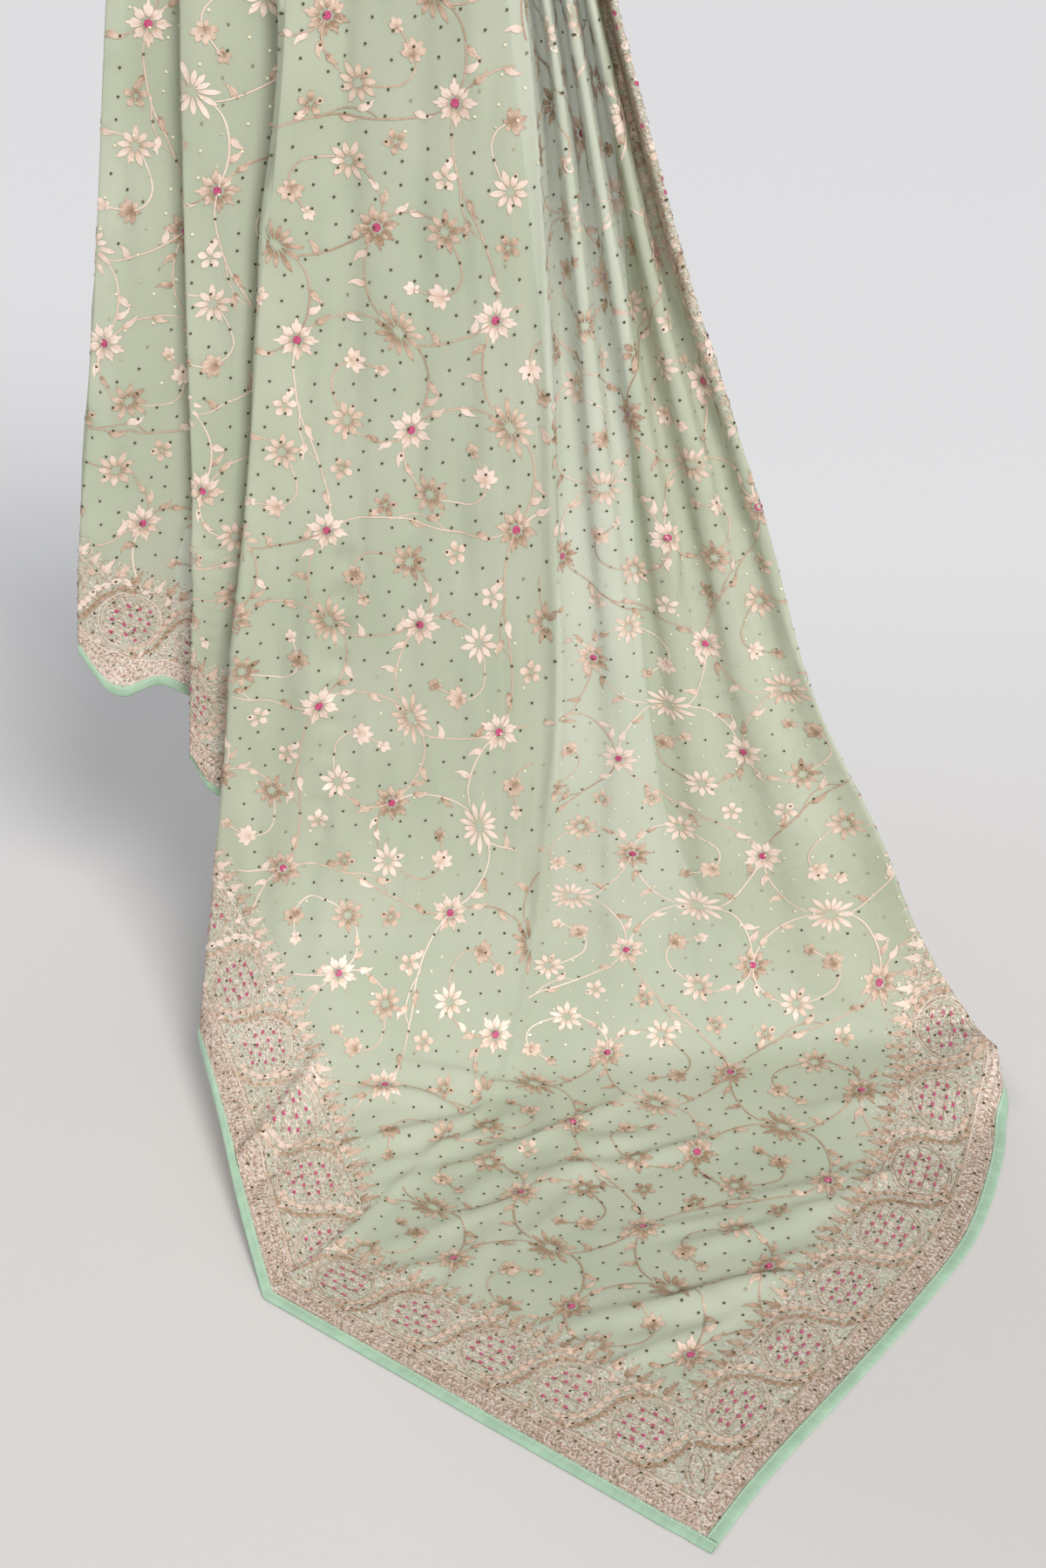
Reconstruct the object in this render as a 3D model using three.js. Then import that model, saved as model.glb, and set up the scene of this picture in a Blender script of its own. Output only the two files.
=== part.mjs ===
import * as THREE from "three";

// Saree hanging from one hold, its decorated end opened out and laid on the floor in front.
// Millimetres. The origin is the hold, +Z up, the front faces -Y, the floor is FLOOR below.
const FLOOR = -1400;
const WALL = 1.0;
const SEAM = 0.3;
const PIPING_WIDTH = 9;
const PIPING_WALL = 1.4;
const TRIM = PIPING_WIDTH + SEAM;
const INNER_R = 21;
const OUTER_R = 73;
const TURN = { y: 47, height: 60 };

// Rows of numbers under named columns.
function named(columns, rows) {
  return rows.map((row) => Object.fromEntries(columns.map((name, i) => [name, row[i]])));
}

// The front fall by height above the floor. Every x is a fold line or an edge:
// edge0 = right long edge, f1 = right silhouette fold, g = first flute, f4..f9 = folds behind,
// edge1 = left long edge. yc = front plane, flute = flute depth, under = depth of edge0 behind
// the front, pitch = layer spacing.
const FOLD_LINES = ["edge0", "f1", "g", "f4", "f5", "f6", "f7", "f8", "f9", "edge1"];
const UPPER = named(["z", ...FOLD_LINES, "yc", "flute", "under", "pitch"], [
  [1400, 57.5, 54, 24, -55, 20, -55, 20, -55, 20, -50, -73, 22, 24.6, 3.3],
  [1250, 99, 96, 58, -42, 38, -64, 22, -78, 16, -68, -76, 26, 29, 3.9],
  [1050, 157, 157, 108, -27, 42, -76, 0, -110, -10, -98, -81, 31, 36, 4.6],
  [850, 200, 212, 150, -15, 45, -86, -20, -140, -40, -126, -86, 34, 43, 5.2],
  [661, 226, 268, 166, -41, 20, -97, -40, -166, -75, -150, -88, 27, 34, 5.6],
  [466, 236, 336, 172, -64, 0, -106, -62, -196, -110, -178, -90, 16, 22, 5.8],
]);

// Below the last row of UPPER each fold line has its own way down: [x, y, height above the floor].
// drop = down to where it nears the floor, lay = from there to the end of the cloth.
const LOWER = {
  edge0: {
    drop: [[250, -64, 320], [274, -64, 190], [320, -68, 100], [384, -78, 44], [446, -94, 14], [517, -130, 1.5]],
    lay: [
      [553, -178, 0.7], [545, -226, 0.7], [533, -272, 0.7], [494, -366, 0.7],
      [441, -442, 0.7], [380, -520, 0.7], [310, -607, 0.7], [269, -666, 0.7],
    ],
  },
  u: {
    drop: [[362, -74, 320], [426, -76, 190], [458, -80, 112], [490, -90, 56], [530, -121, 15]],
    lay: [
      [548, -176, 16], [530, -226, 0.7], [519, -268, 0.7], [482, -359, 0.7],
      [430, -433, 0.7], [368, -511, 0.7], [298, -599, 0.7], [257, -657, 0.7],
    ],
  },
  f1: {
    drop: [[384, -90, 320], [448, -92, 190], [481, -97, 112], [512, -108, 58], [535, -122, 28]],
    lay: [
      [540, -170, 29], [514, -219, 7], [503, -263, 0.7], [467, -350, 0.7],
      [417, -423, 0.7], [355, -502, 0.7], [285, -590, 0.7], [245, -648, 0.7],
    ],
  },
  g: {
    drop: [[178, -93, 320], [168, -99, 190], [158, -113, 100], [147, -138, 42], [134, -168, 12]],
    lay: [[118, -200, 0.7], [62, -292, 0.7], [4, -378, 0.7], [-40, -432, 0.7]],
  },
  h: {
    drop: [[90, -92, 320], [77, -103, 190], [66, -126, 112], [49, -162, 60]],
    lay: [[22, -222, 32], [-28, -290, 20], [-68, -345, 18]],
  },
  j: {
    drop: [[2, -91, 320], [-14, -104, 200], [-26, -132, 128]],
    lay: [[-44, -166, 78], [-68, -208, 50], [-92, -262, 34]],
  },
  f4: {
    drop: [[-86, -90, 320], [-104, -94, 200], [-113, -106, 135]],
    lay: [[-118, -128, 90], [-121, -166, 44]],
  },
  f5: { drop: [[6, -80, 370], [12, -76, 280]], lay: [[16, -74, 200]] },
  f6: { drop: [[-114, -76, 370], [-120, -72, 310]], lay: [[-126, -70, 254]] },
  f7: { drop: [[-78, -58, 395], [-90, -52, 345]], lay: [[-100, -48, 296]] },
  f8: { drop: [[-204, -66, 410], [-208, -64, 375]], lay: [[-210, -62, 346]] },
  f9: { drop: [[-124, -50, 428], [-130, -50, 395]], lay: [[-134, -50, 362]] },
  edge1: { drop: [[-184, -46, 440], [-188, -46, 415]], lay: [[-190, -46, 388]] },
};

// The stretches behind by height above the floor: the same folds, kept narrow and plain.
// out = the rear stretch's outer layer from the hold, tuck = the tucked stretch's inner layer.
const REAR = named(["z", ...FOLD_LINES, "out", "tuck", "flute", "under", "pitch"], [
  [1400, 57.5, 54, 24, -55, 20, -55, 20, -55, 20, -50, 73, 21, 22, 24.6, 3.3],
  [1150, 95, 88, 46, -57, 40, -60, 34, -63, 26, -58, 75, 20, 23, 26, 3.5],
  [850, 136, 126, 72, -60, 64, -68, 54, -74, 40, -66, 78, 18, 23, 26, 3.7],
  [430, 180, 166, 98, -66, 90, -74, 78, -82, 60, -72, 80, 15, 22, 25, 3.7],
  [60, 176, 162, 96, -64, 88, -74, 76, -82, 58, -70, 81, 13, 22, 25, 3.7],
]);

// The plain end of the tucked stretch: its height above the floor from one long edge to the other.
const PLAIN_END = { right: 840, left: 170 };
const ACROSS = {
  edge0: 0, u: 0.04, f1: 0.08, g: 0.35, h: 0.42, j: 0.5, f4: 0.57,
  f5: 0.63, f6: 0.72, f7: 0.79, f8: 0.9, f9: 0.96, edge1: 1,
};

// Three crests stand between the right silhouette and the first flute, with four troughs.
const FLUTES = 3;
const FLUTE_SLOTS = 2 * FLUTES + 2;
const BACK_FOLDS = ["f4", "f5", "f6", "f7", "f8", "f9"];

// Names of the control lines across the cloth, right long edge first.
// A fold is a pair of lines, so that it turns with room inside.
function lineNames() {
  const names = ["edge0", "u", "f1.b", "f1.a"];
  for (let i = 0; i < FLUTES; i++) names.push(`t${i}.a`, `t${i}.b`, `k${i}.a`, `k${i}.b`);
  names.push(`t${FLUTES}.a`, `t${FLUTES}.b`, "g", "h", "j");
  BACK_FOLDS.forEach((f) => names.push(`${f}.a`, `${f}.b`));
  names.push("edge1");
  return names;
}
const LINES = lineNames();
const foldOf = (name) => name.split(".")[0];

const mix = (a, b, t) => a + (b - a) * t;
const mixP = (a, b, t) => [mix(a[0], b[0], t), mix(a[1], b[1], t), mix(a[2], b[2], t)];
const dist = (a, b) => Math.hypot(a[0] - b[0], a[1] - b[1], a[2] - b[2]);

// One level row: every control line as [x, depth behind the front layer].
function levelSection(row) {
  const out = {};
  const step = (row.f1 - row.g) / FLUTE_SLOTS;
  const e = step / 2;
  const tucked = Math.min(1, Math.max(0, (row.f1 - row.edge0) / 12));
  out.edge0 = [row.edge0, row.under];
  out["f1.b"] = [row.f1 + e * 0.55, 0];
  out["f1.a"] = [row.f1 - e * 0.55, 0];
  const halfway = [mix(out["f1.b"][0], row.edge0, 0.5), row.under * 0.5];
  const behind = [row.f1 - step + e * 0.55 + 3, row.flute + 3.4];
  out.u = [mix(halfway[0], behind[0], tucked), mix(halfway[1], behind[1], tucked)];
  for (let i = 0; i <= FLUTES; i++) {
    const xt = row.f1 - step * (2 * i + 1);
    out[`t${i}.a`] = [xt + e * 0.55, row.flute];
    out[`t${i}.b`] = [xt - e * 0.55, row.flute];
    if (i < FLUTES) {
      const xk = row.f1 - step * (2 * i + 2);
      out[`k${i}.a`] = [xk + e * 0.55, 0];
      out[`k${i}.b`] = [xk - e * 0.55, 0];
    }
  }
  out.g = [row.g, 0];
  out.h = [mix(row.g, row.f4, 0.36), 0];
  out.j = [mix(row.g, row.f4, 0.7), 0];
  BACK_FOLDS.forEach((f, i) => {
    out[`${f}.a`] = [row[f], row.pitch * i];
    out[`${f}.b`] = [row[f], row.pitch * (i + 1)];
  });
  out.edge1 = [row.edge1, row.pitch * 6];
  return out;
}

// Centripetal spline through points, sampled evenly by length between the marked points.
// It stops short of the end by the trim and then gives both rims of the piping.
function splineThrough(points, marks, counts) {
  const knots = points.map((p) => new THREE.Vector3(...p));
  const curve = new THREE.CatmullRomCurve3(knots, false, "centripetal");
  const n = points.length - 1;
  const out = [];
  marks.slice(1).forEach((m, i) => {
    const from = marks[i] / n;
    const to = m / n;
    const fine = 60;
    const pts = [];
    const run = [0];
    for (let k = 0; k <= fine; k++) {
      const v = curve.getPoint(mix(from, to, k / fine));
      pts.push([v.x, v.y, v.z]);
      if (k) run.push(run[k - 1] + dist(pts[k], pts[k - 1]));
    }
    const whole = run[fine];
    const isLast = i === marks.length - 2;
    const usable = isLast ? whole - TRIM : whole;
    const wanted = [];
    for (let c = i ? 1 : 0; c <= counts[i]; c++) wanted.push((usable * c) / counts[i]);
    if (isLast) wanted.push(whole - PIPING_WIDTH, whole);
    wanted.forEach((want) => {
      let k = 1;
      while (k < fine && run[k] < want) k++;
      const span = run[k] - run[k - 1] || 1;
      out.push(mixP(pts[k - 1], pts[k], (want - run[k - 1]) / span));
    });
  });
  return out;
}

// A point part of the way along a list of points.
function along(list, t) {
  const x = t * (list.length - 1);
  const k = Math.min(list.length - 2, Math.floor(x));
  return mixP(list[k], list[k + 1], x - k);
}

// Crests and troughs run between the silhouette fold and the first flute, and flatten out.
const FLUTE_DEPTH = { drop: [11, 8, 6, 4, 3], lay: [2, 1, 0, 0, 0] };

function flutePath(name) {
  const last = UPPER[UPPER.length - 1];
  const crest = name[0] === "k";
  const place = (2 * Number(name[1]) + (crest ? 2 : 1)) / FLUTE_SLOTS;
  const across = place + (name.endsWith(".a") ? -0.024 : 0.024);
  const path = (part) => {
    const startOf = (key) => (part === "drop" ? [last[key], last.yc, last.z] : LOWER[key].drop.at(-1));
    return FLUTE_DEPTH[part].map((depth, s) => {
      const t = (s + 1) / FLUTE_DEPTH[part].length;
      const right = along([startOf("f1"), ...LOWER.f1[part]], t);
      const left = along([startOf("g"), ...LOWER.g[part]], t);
      const p = mixP(right, left, across);
      if (part === "drop") return [p[0], p[1] + (crest ? 0 : depth), p[2]];
      return [p[0], p[1], p[2] + (crest ? depth : 0)];
    });
  };
  return { drop: path("drop"), lay: path("lay") };
}

// The way down of one control line in the front fall.
function lowerPath(name) {
  const fold = foldOf(name);
  const back = name.endsWith(".b");
  if (LOWER[name]) return LOWER[name];
  if (fold[0] === "t" || fold[0] === "k") return flutePath(name);
  if (fold === "f1") {
    const side = back ? 1 : -1;
    return {
      drop: LOWER.f1.drop.map((p) => (back ? [p[0] + 1.5, p[1] + 4.5, p[2]] : p)),
      lay: LOWER.f1.lay.map((p) => [p[0] + 4 * side, p[1] - 2.5 * side, p[2]]),
    };
  }
  const pitch = UPPER[UPPER.length - 1].pitch;
  const put = (p) => {
    if (!back) return p;
    const open = fold === "f4" ? 0.02 * (320 - p[2]) : 0;
    return [p[0], p[1] + pitch + open, p[2]];
  };
  return { drop: LOWER[fold].drop.map(put), lay: LOWER[fold].lay.map(put) };
}

// Rows of the front fall, hold first: an array of rows, each with one point per control line.
function frontControl() {
  const upper = UPPER.map((row) => ({ row, section: levelSection(row) }));
  const columns = LINES.map((name) => {
    const top = upper.map(({ row, section }) => [section[name][0], row.yc + section[name][1], row.z]);
    const low = lowerPath(name);
    const pts = [...top, ...low.drop, ...low.lay].map((p) => [p[0], p[1], p[2] + FLOOR]);
    const marks = [0, UPPER.length - 1, UPPER.length - 1 + low.drop.length, pts.length - 1];
    return splineThrough(pts, marks, [9, 7, 9]);
  });
  return columns[0].map((_, r) => columns.map((c) => c[r]));
}

// Points across one row, with each fold turned round and each panel divided.
function acrossRow(ctrl, divide) {
  const out = [ctrl[0]];
  const isPair = (i) => i > 0 && i < LINES.length && foldOf(LINES[i]) === foldOf(LINES[i - 1]);
  const onLeg = (i) => {
    const partner = isPair(i) ? ctrl[i - 1] : ctrl[i + 1];
    const away = isPair(i) ? ctrl[i + 1] : ctrl[i - 1];
    const reach = dist(ctrl[i], away);
    return mixP(ctrl[i], away, Math.min(dist(ctrl[i], partner) * 0.55, reach * 0.3) / reach);
  };
  for (let i = 1; i < ctrl.length; i++) {
    if (isPair(i)) {
      out.push(mixP(ctrl[i], ctrl[i - 1], 0.5), onLeg(i));
      continue;
    }
    const from = out[out.length - 1];
    const to = isPair(i + 1) ? onLeg(i) : ctrl[i];
    const n = divide(LINES[i]);
    for (let k = 1; k <= n; k++) out.push(bend(ctrl, i, from, to, k / (n + 1)));
    out.push(to);
  }
  return out;
}

// Panels that show beside the one in front of them stand forward a little where they show.
const SHOWS_BESIDE = { "f6.a": "f4.a", "f8.a": "f6.a" };

// Between the flat lines g, h, j and f4 the cloth bends smoothly; elsewhere a panel is straight.
function bend(ctrl, i, from, to, t) {
  const soft = ["h", "j", "f4.a"];
  if (!soft.includes(LINES[i])) {
    const p = mixP(from, to, t);
    const before = SHOWS_BESIDE[LINES[i]];
    if (before) {
      const shown = Math.max(0, ctrl[LINES.indexOf(before)][0] - to[0] - 6);
      const hidden = 1 - Math.min(0.95, shown / dist(from, to));
      const reach = Math.max(0, (t - hidden) / (1 - hidden));
      p[1] -= 0.13 * shown * Math.sin(Math.PI * reach);
    }
    if (LINES[i] === "f5.a") {
      const low = Math.min(1, Math.max(0, (FLOOR + 260 - from[2]) / 110));
      p[1] += 4 * low * Math.sin(Math.PI * (0.1 + 0.9 * t));
    }
    return p;
  }
  const p0 = ctrl[i - 2];
  const p3 = LINES[i] === "f4.a" ? to : ctrl[i + 1];
  const start = LINES[i] === "h" ? from : p0;
  const q = (a, b, c, d) => {
    const m1 = (c - a) * 0.5;
    const m2 = (d - b) * 0.5;
    const t2 = t * t;
    const t3 = t2 * t;
    return (2 * t3 - 3 * t2 + 1) * b + (t3 - 2 * t2 + t) * m1 + (-2 * t3 + 3 * t2) * c + (t3 - t2) * m2;
  };
  return [0, 1, 2].map((k) => q(start[k], from[k], to[k], p3[k]));
}

// A closed wall of one thickness about a grid of middle points, rows then columns.
function wallFrom(grid, thickness) {
  const rows = grid.length;
  const cols = grid[0].length;
  const positions = [];
  const half = thickness / 2;
  const v = (r, c) => new THREE.Vector3(...grid[r][c]);
  for (const side of [1, -1]) {
    for (let r = 0; r < rows; r++) {
      for (let c = 0; c < cols; c++) {
        const du = v(r, Math.min(cols - 1, c + 1)).sub(v(r, Math.max(0, c - 1))).normalize();
        const a = c > 0 ? v(r, c).sub(v(r, c - 1)).normalize() : du;
        const b = c < cols - 1 ? v(r, c + 1).sub(v(r, c)).normalize() : du;
        const ds = v(Math.min(rows - 1, r + 1), c).sub(v(Math.max(0, r - 1), c)).normalize();
        const na = a.clone().cross(ds).normalize();
        const nb = b.clone().cross(ds).normalize();
        const n = na.add(nb);
        if (n.length() < 0.3) n.copy(du.cross(ds));
        n.normalize();
        positions.push(...v(r, c).addScaledVector(n, half * side).toArray());
      }
    }
  }
  const id = (s, r, c) => s * rows * cols + r * cols + c;
  const index = [];
  const quad = (a, b, c, d) => index.push(a, b, c, a, c, d);
  for (let r = 0; r < rows - 1; r++) {
    for (let c = 0; c < cols - 1; c++) {
      quad(id(0, r, c), id(0, r, c + 1), id(0, r + 1, c + 1), id(0, r + 1, c));
      quad(id(1, r, c), id(1, r + 1, c), id(1, r + 1, c + 1), id(1, r, c + 1));
    }
    quad(id(0, r, 0), id(0, r + 1, 0), id(1, r + 1, 0), id(1, r, 0));
    quad(id(0, r, cols - 1), id(1, r, cols - 1), id(1, r + 1, cols - 1), id(0, r + 1, cols - 1));
  }
  for (let c = 0; c < cols - 1; c++) {
    quad(id(0, 0, c), id(1, 0, c), id(1, 0, c + 1), id(0, 0, c + 1));
    quad(id(0, rows - 1, c), id(0, rows - 1, c + 1), id(1, rows - 1, c + 1), id(1, rows - 1, c));
  }
  return closedGeometry(positions, index);
}

// Turn the faces outward if the signed volume says they point in.
function closedGeometry(positions, index) {
  const at = (i) => new THREE.Vector3(positions[3 * i], positions[3 * i + 1], positions[3 * i + 2]);
  let volume = 0;
  for (let i = 0; i < index.length; i += 3) {
    volume += at(index[i]).dot(at(index[i + 1]).cross(at(index[i + 2])));
  }
  if (volume < 0) {
    for (let i = 0; i < index.length; i += 3) {
      const keep = index[i + 1];
      index[i + 1] = index[i + 2];
      index[i + 2] = keep;
    }
  }
  const geometry = new THREE.BufferGeometry();
  geometry.setAttribute("position", new THREE.Float32BufferAttribute(positions, 3));
  geometry.setIndex(index);
  geometry.computeVertexNormals();
  return geometry;
}

// A control line moved back from the edge by the given amount.
function pulledIn(ctrl, amount) {
  const n = ctrl.length;
  const out = ctrl.slice();
  out[0] = mixP(ctrl[0], ctrl[1], amount / dist(ctrl[0], ctrl[1]));
  out[n - 1] = mixP(ctrl[n - 1], ctrl[n - 2], amount / dist(ctrl[n - 1], ctrl[n - 2]));
  return out;
}

function rearRow(height) {
  let k = 0;
  while (k < REAR.length - 2 && REAR[k + 1].z > height) k++;
  const a = REAR[k];
  const b = REAR[k + 1];
  const t = (a.z - height) / (a.z - b.z);
  const row = {};
  Object.keys(a).forEach((key) => (row[key] = mix(a[key], b[key], t)));
  return row;
}

const spread = (from, to, steps) => Array.from({ length: steps + 1 }, (_, i) => mix(from, to, i / steps));

// Rows over the hold: every layer turns about the hold at its own radius.
function overHold(radiusOf, steps, lift) {
  const section = levelSection(UPPER[0]);
  return spread(0, Math.PI, steps).map((angle) =>
    LINES.map((name) => {
      const r = radiusOf(section[name][1]);
      return [section[name][0], -r * Math.cos(angle), r * Math.sin(angle) + lift];
    })
  );
}

function rearControl() {
  const rows = spread(1400, TURN.height, 6).map((height) => {
    const row = rearRow(height);
    const section = levelSection(row);
    return LINES.map((name) => [section[name][0], row.out - section[name][1], height + FLOOR]);
  });
  const last = rows[rows.length - 1];
  for (let i = 1; i <= 5; i++) {
    const angle = (Math.PI * i) / 5;
    rows.push(last.map((p) => {
      const r = p[1] - TURN.y;
      return [p[0], TURN.y + r * Math.cos(angle), p[2] - r * Math.sin(angle)];
    }));
  }
  return rows;
}

function lineAcross(name) {
  const fold = foldOf(name);
  if (fold in ACROSS) return ACROSS[fold];
  const slot = 2 * Number(fold[1]) + (fold[0] === "k" ? 2 : 1);
  return mix(ACROSS.f1, ACROSS.g, slot / FLUTE_SLOTS);
}

function tuckedControl() {
  const bottom = rearControl().at(-1);
  const rise = spread(TURN.height, 1400, 5).map((height) => {
    const row = rearRow(height);
    const section = levelSection(row);
    return LINES.map((name, i) => {
      const y = height === TURN.height ? bottom[i][1] : row.tuck + section[name][1];
      return [section[name][0], y, height + FLOOR];
    });
  });
  rise[0] = rise[0].map((p) => [p[0], p[1], p[2] + SEAM]);
  const over = overHold((depth) => INNER_R + depth, 7, 0).reverse().slice(1);
  const fall = [];
  const steps = 6;
  for (let s = 1; s <= steps; s++) {
    fall.push(LINES.map((name) => {
      const end = mix(PLAIN_END.right, PLAIN_END.left, lineAcross(name));
      const height = mix(1400, end, s / steps);
      const row = rearRow(height);
      const section = levelSection(row);
      return [section[name][0] * 0.97, -(INNER_R + section[name][1]), height + FLOOR];
    }));
  }
  return [...rise, ...over, ...fall];
}

const COLOURS = {
  pallu_front_fall: 0xbfd2b4,
  fall_over_hold: 0xb9cdae,
  rear_fall: 0xb4c9a9,
  tucked_stretch: 0xafc5a4,
  end_piping: 0xa9dcb4,
  right_edge_piping: 0xa4d8b0,
  left_edge_piping: 0x9fd4ac,
};

const saree = new THREE.Group();
saree.name = "saree";

function add(name, geometry) {
  const material = new THREE.MeshStandardMaterial({ color: COLOURS[name], roughness: 0.85 });
  const mesh = new THREE.Mesh(geometry, material);
  mesh.name = name;
  saree.add(mesh);
}

// How many points stand between the folds of each panel, by the line a panel ends at.
const FRONT_POINTS = {
  u: 3, h: 3, j: 3, "f4.a": 3, "f5.a": 2, "f6.a": 4, "f7.a": 2, "f8.a": 5, "f9.a": 2, edge1: 1,
};
const frontPoints = (name) => FRONT_POINTS[name] ?? 0;
const plainPoints = () => 0;

// The last two rows of the front are the rims of the end piping.
const front = frontControl();
const frontRows = front.slice(0, -2);
const across = (rows, points) => rows.map((row) => acrossRow(pulledIn(row, TRIM), points));
const frontGrid = across(frontRows, frontPoints);
const endGrid = across(front.slice(-2), frontPoints).map((cells, i) => {
  const row = front.at(i - 2);
  return [row[0], ...cells, row.at(-1)];
});

const overRows = overHold((depth) => OUTER_R - depth, 7, SEAM);
const rearRows = rearControl();
const tuckedRows = tuckedControl();
add("pallu_front_fall", wallFrom(frontGrid, WALL));
add("fall_over_hold", wallFrom(across(overRows, plainPoints), WALL));
add("rear_fall", wallFrom(across(rearRows, plainPoints), WALL));
add("tucked_stretch", wallFrom(across(tuckedRows, plainPoints), WALL));
add("end_piping", wallFrom(endGrid, PIPING_WALL));

// The long edges carry one strip each from the decorated end to the plain end.
const behindRows = [...overRows.slice(1, -1), ...rearRows, ...tuckedRows.slice(1)];
const allRows = [...frontRows.slice().reverse(), ...behindRows];
const edgeStrip = (edge, next) => allRows.map((row) => {
  const outer = row.at(edge);
  const inner = mixP(outer, row.at(next), PIPING_WIDTH / dist(outer, row.at(next)));
  return [outer, inner];
});
add("right_edge_piping", wallFrom(edgeStrip(0, 1), PIPING_WALL));
add("left_edge_piping", wallFrom(edgeStrip(-1, -2), PIPING_WALL));

export default saree;
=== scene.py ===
import math

import bpy
import numpy as np
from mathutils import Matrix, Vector
from mathutils.bvhtree import BVHTree


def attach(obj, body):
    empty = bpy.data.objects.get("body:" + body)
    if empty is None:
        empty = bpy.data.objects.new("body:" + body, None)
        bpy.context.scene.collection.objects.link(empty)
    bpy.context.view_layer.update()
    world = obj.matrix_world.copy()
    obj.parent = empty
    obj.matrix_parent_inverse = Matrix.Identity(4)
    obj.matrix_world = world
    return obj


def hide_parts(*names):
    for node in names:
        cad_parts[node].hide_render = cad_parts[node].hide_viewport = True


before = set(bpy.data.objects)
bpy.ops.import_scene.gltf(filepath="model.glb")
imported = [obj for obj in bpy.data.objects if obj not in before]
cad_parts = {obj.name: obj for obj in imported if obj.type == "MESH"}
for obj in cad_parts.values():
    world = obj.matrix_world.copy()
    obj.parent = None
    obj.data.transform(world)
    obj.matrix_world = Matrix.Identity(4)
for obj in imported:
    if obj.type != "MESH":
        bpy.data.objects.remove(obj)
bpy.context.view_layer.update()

# Saree hanging from one hold. The cloth's middle surface repeats the part's own lines, in
# millimetres with the origin at the hold, and becomes metres when a mesh is made.
FLOOR = -1400.0
SEAM = 0.3
PIPING_WIDTH = 9.0
TRIM = PIPING_WIDTH + SEAM
INNER_R = 21.0
OUTER_R = 73.0
TURN_Y = 47.0
TURN_HEIGHT = 60.0

FOLD_LINES = ["edge0", "f1", "g", "f4", "f5", "f6", "f7", "f8", "f9", "edge1"]


def named(columns, rows):
    return [dict(zip(columns, row)) for row in rows]


UPPER = named(["z"] + FOLD_LINES + ["yc", "flute", "under", "pitch"], [
    [1400, 57.5, 54, 24, -55, 20, -55, 20, -55, 20, -50, -73, 22, 24.6, 3.3],
    [1250, 99, 96, 58, -42, 38, -64, 22, -78, 16, -68, -76, 26, 29, 3.9],
    [1050, 157, 157, 108, -27, 42, -76, 0, -110, -10, -98, -81, 31, 36, 4.6],
    [850, 200, 212, 150, -15, 45, -86, -20, -140, -40, -126, -86, 34, 43, 5.2],
    [661, 226, 268, 166, -41, 20, -97, -40, -166, -75, -150, -88, 27, 34, 5.6],
    [466, 236, 336, 172, -64, 0, -106, -62, -196, -110, -178, -90, 16, 22, 5.8],
])

# Each line's way down below the last row of UPPER: [x, y, height above the floor].
DROP = {
    "edge0": [
        [250, -64, 320], [274, -64, 190], [320, -68, 100], [384, -78, 44],
        [446, -94, 14], [517, -130, 1.5],
    ],
    "u": [[362, -74, 320], [426, -76, 190], [458, -80, 112], [490, -90, 56], [530, -121, 15]],
    "f1": [[384, -90, 320], [448, -92, 190], [481, -97, 112], [512, -108, 58], [535, -122, 28]],
    "g": [[178, -93, 320], [168, -99, 190], [158, -113, 100], [147, -138, 42], [134, -168, 12]],
    "h": [[90, -92, 320], [77, -103, 190], [66, -126, 112], [49, -162, 60]],
    "j": [[2, -91, 320], [-14, -104, 200], [-26, -132, 128]],
    "f4": [[-86, -90, 320], [-104, -94, 200], [-113, -106, 135]],
    "f5": [[6, -80, 370], [12, -76, 280]],
    "f6": [[-114, -76, 370], [-120, -72, 310]],
    "f7": [[-78, -58, 395], [-90, -52, 345]],
    "f8": [[-204, -66, 410], [-208, -64, 375]],
    "f9": [[-124, -50, 428], [-130, -50, 395]],
    "edge1": [[-184, -46, 440], [-188, -46, 415]],
}
LAY = {
    "edge0": [
        [553, -178, 0.7], [545, -226, 0.7], [533, -272, 0.7], [494, -366, 0.7],
        [441, -442, 0.7], [380, -520, 0.7], [310, -607, 0.7], [269, -666, 0.7],
    ],
    "u": [
        [548, -176, 16], [530, -226, 0.7], [519, -268, 0.7], [482, -359, 0.7],
        [430, -433, 0.7], [368, -511, 0.7], [298, -599, 0.7], [257, -657, 0.7],
    ],
    "f1": [
        [540, -170, 29], [514, -219, 7], [503, -263, 0.7], [467, -350, 0.7],
        [417, -423, 0.7], [355, -502, 0.7], [285, -590, 0.7], [245, -648, 0.7],
    ],
    "g": [[118, -200, 0.7], [62, -292, 0.7], [4, -378, 0.7], [-40, -432, 0.7]],
    "h": [[22, -222, 32], [-28, -290, 20], [-68, -345, 18]],
    "j": [[-44, -166, 78], [-68, -208, 50], [-92, -262, 34]],
    "f4": [[-118, -128, 90], [-121, -166, 44]],
    "f5": [[16, -74, 200]],
    "f6": [[-126, -70, 254]],
    "f7": [[-100, -48, 296]],
    "f8": [[-210, -62, 346]],
    "f9": [[-134, -50, 362]],
    "edge1": [[-190, -46, 388]],
}

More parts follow.
